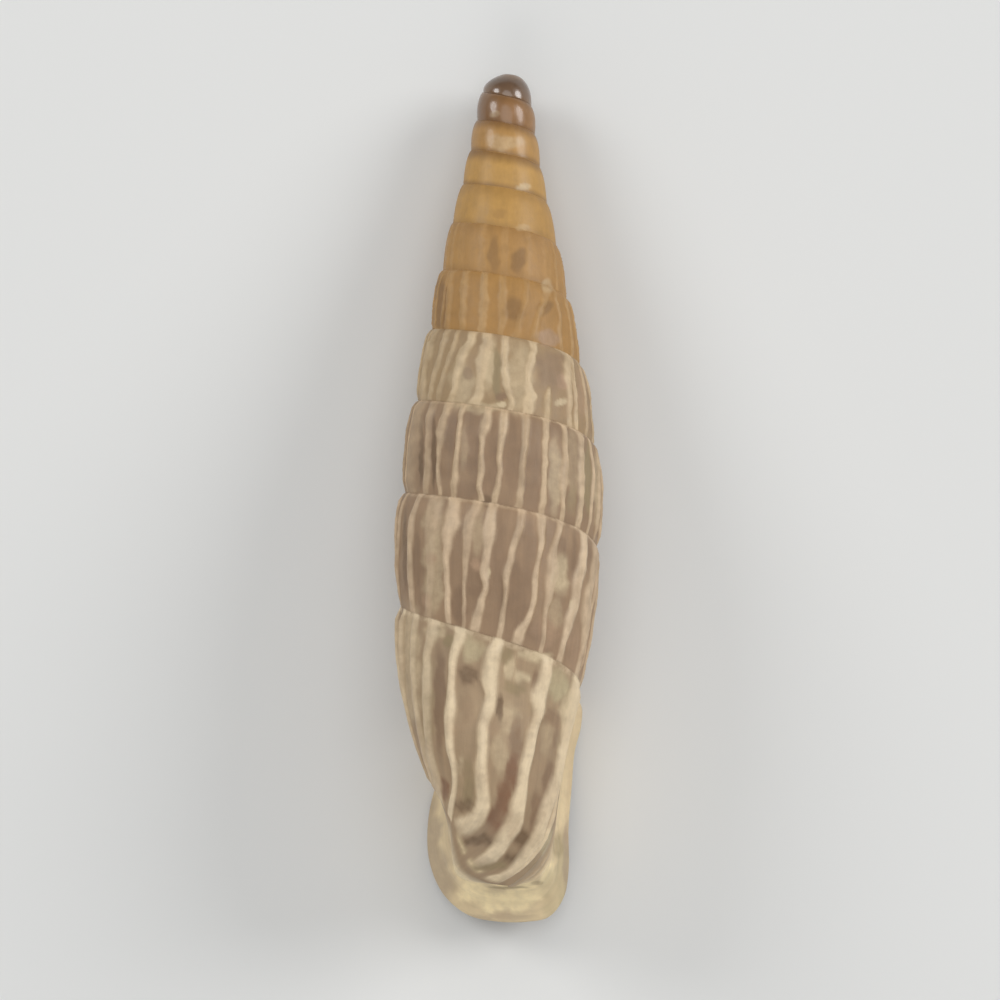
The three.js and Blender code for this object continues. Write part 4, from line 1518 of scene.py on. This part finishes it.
    def ramp(self, g: Graph, age: Value, stops: Sequence[tuple[float, Paint]]) -> Value:
        """A colour that changes with the turn."""
        settings = {"stops": [(turn / self.turns, paint) for turn, paint in stops]}
        return g.node("ShaderNodeValToRGB", settings, {"Fac": age * (1 / self.turns)}, "Color")


@dataclass
class Shell:
    """The whole shell."""

    finish: ShellFinish
    seen: BackView
    coil: Coil = field(default_factory=Coil)
    lip: Lip = field(default_factory=Lip)
    edge_angle: float = math.radians(55)
    # Places across a whorl where its points lie: close at the upper suture, even, and close at the lower.
    upper_rows: Sequence[float] = (0, 0.012, 0.035, 0.07)
    even_rows: tuple[float, float, int] = (0.1, 0.94, 27)
    lower_rows: Sequence[float] = (0.965, 0.985)

    def rows(self) -> Array:
        """Places across a whorl where its points lie."""
        return np.concatenate([self.upper_rows, np.linspace(*self.even_rows), self.lower_rows])

    def build(self) -> bpy.types.Object:
        """Joins the whorls and the neck, cuts the hollow and dresses the result.

        Returns:
            The shell, laid in the frame.
        """
        ribs = Ribs(self.coil, self.seen, self.rows())
        hollow = Hollow(self.coil, self.lip)
        solids = [
            Whorls(self.coil, ribs, self.seen).solid(),
            Neck(self.coil, self.lip, self.seen).solid(),
            hollow.funnel(),
            hollow.coil_hollow(),
        ]
        body, neck, funnel, inner = [solid.build() for solid in solids]
        for other, operation in ((neck, "UNION"), (funnel, "DIFFERENCE"), (inner, "DIFFERENCE")):
            self.combine(body, other, operation)
        mesh = body.data
        log.info("joined mesh: %d points, %d faces", len(mesh.vertices), len(mesh.polygons))
        self.carry_signals(mesh, solids)
        self.lay(mesh)
        mesh.polygons.foreach_set("use_smooth", [True] * len(mesh.polygons))
        mesh.set_sharp_from_angle(angle=self.edge_angle)
        mesh.materials.clear()
        mesh.materials.append(self.finish.material())
        body.name = "land_snail_shell"
        return body

    @staticmethod
    def combine(body: bpy.types.Object, other: bpy.types.Object, operation: str) -> None:
        """Joins another solid to the body or cuts it out of the body, and removes it.

        Args:
            body: The body.
            other: The other solid.
            operation: What is done with it, as the modifier calls it.
        """
        modifier = body.modifiers.new("combine", "BOOLEAN")
        modifier.object = other
        modifier.operation = operation
        modifier.solver = "MANIFOLD"
        graph = bpy.context.evaluated_depsgraph_get()
        mesh = bpy.data.meshes.new_from_object(body.evaluated_get(graph))
        body.modifiers.clear()
        body.data = mesh
        bpy.data.objects.remove(other)

    @staticmethod
    def carry_signals(mesh: bpy.types.Mesh, solids: Sequence[Solid]) -> None:
        """Gives each vertex the signals of the nearest point that it was made from.

        Args:
            mesh: The joined mesh.
            solids: The solids that it was made from.
        """
        points = np.concatenate([np.concatenate(solid.points) for solid in solids])
        signals = np.concatenate([np.concatenate(solid.signals) for solid in solids])
        tree = KDTree(len(points))
        for k, point in enumerate(points):
            tree.insert(point, k)
        tree.balance()
        nearest = np.array([tree.find(vertex.co / MM)[1] for vertex in mesh.vertices])
        for column, name in enumerate(SIGNALS):
            layer = mesh.attributes.new(name, "FLOAT", "POINT")
            layer.data.foreach_set("value", signals[nearest, column].astype(np.float32))

    @staticmethod
    def lay(mesh: bpy.types.Mesh) -> None:
        """Lays the mesh in the frame."""
        turned = Matrix.Rotation(-REST_PITCH, 4, "X")
        mesh.transform(Matrix.Translation(Vector(PLACE) * MM) @ turned)


@dataclass(frozen=True)
class Softbox:
    """A round soft light: where it stands, seen from the shell, its size and its strength."""

    side: float
    lift: float
    ahead: float
    size: float
    power: float

    def build(self, name: str, aim: Vector) -> None:
        """Makes the light.

        Args:
            name: Its name.
            aim: The point that it is turned to.
        """
        data = bpy.data.lights.new(name, "AREA")
        data.shape = "DISK"
        data.size = self.size
        data.energy = self.power
        light = bpy.data.objects.new(name, data)
        light.location = aim + Vector((self.side, self.ahead, self.lift))
        light.rotation_euler = (aim - light.location).to_track_quat("-Z", "Y").to_euler()
        bpy.context.scene.collection.objects.link(light)


@dataclass
class Studio:
    """A pale floor, soft light and the camera."""

    view: PhotoView
    floor_half: float = 1.5
    floor_paint: Paint = Paint(226, 226, 224)
    floor_roughness: float = 0.8
    air: Paint = Paint(236, 238, 240)
    air_strength: float = 0.32
    aim: Sequence[float] = (0, 0, 0.002)
    softboxes: Sequence[Softbox] = (
        Softbox(side=-0.24, lift=0.17, ahead=0.15, size=0.15, power=0.33),
        Softbox(side=0.29, lift=0.17, ahead=0.13, size=0.19, power=0.62),
        Softbox(side=0.02, lift=0.45, ahead=0.12, size=0.4, power=0.6),
        Softbox(side=-0.05, lift=0.2, ahead=-0.34, size=0.3, power=0.34),
    )

    def build(self) -> None:
        """Makes the floor, the lights and the camera."""
        scene = bpy.context.scene
        scene.view_settings.view_transform = "Standard"
        half = self.floor_half
        corners = [(-half, -half, 0), (half, -half, 0), (half, half, 0), (-half, half, 0)]
        mesh = bpy.data.meshes.new("floor")
        mesh.from_pydata(corners, [], [(0, 1, 2, 3)])
        floor = bpy.data.objects.new("floor", mesh)
        scene.collection.objects.link(floor)
        g = Graph("floor")
        g.feed(g.shader.inputs["Base Color"], self.floor_paint.linear())
        g.feed(g.shader.inputs["Roughness"], self.floor_roughness)
        mesh.materials.append(g.material)
        world = bpy.data.worlds.new("air")
        world.use_nodes = True
        background = next(node for node in world.node_tree.nodes if node.type == "BACKGROUND")
        background.inputs["Color"].default_value = self.air.linear()
        background.inputs["Strength"].default_value = self.air_strength
        scene.world = world
        for k, softbox in enumerate(self.softboxes):
            softbox.build(f"softbox_{k + 1}", Vector(self.aim))
        scene.camera = self.view.camera()


def main() -> None:
    """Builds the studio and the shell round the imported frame."""
    logging.basicConfig(level=logging.INFO, format="%(message)s")
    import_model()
    view = PhotoView()
    Studio(view).build()
    log.info("studio: floor, lights and camera")
    shell = Shell(ShellFinish(), BackView(view)).build()
    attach(shell, "root")
    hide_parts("shell")
    log.info("shell: %d faces", len(shell.data.polygons))


if __name__ == "__main__":
    main()
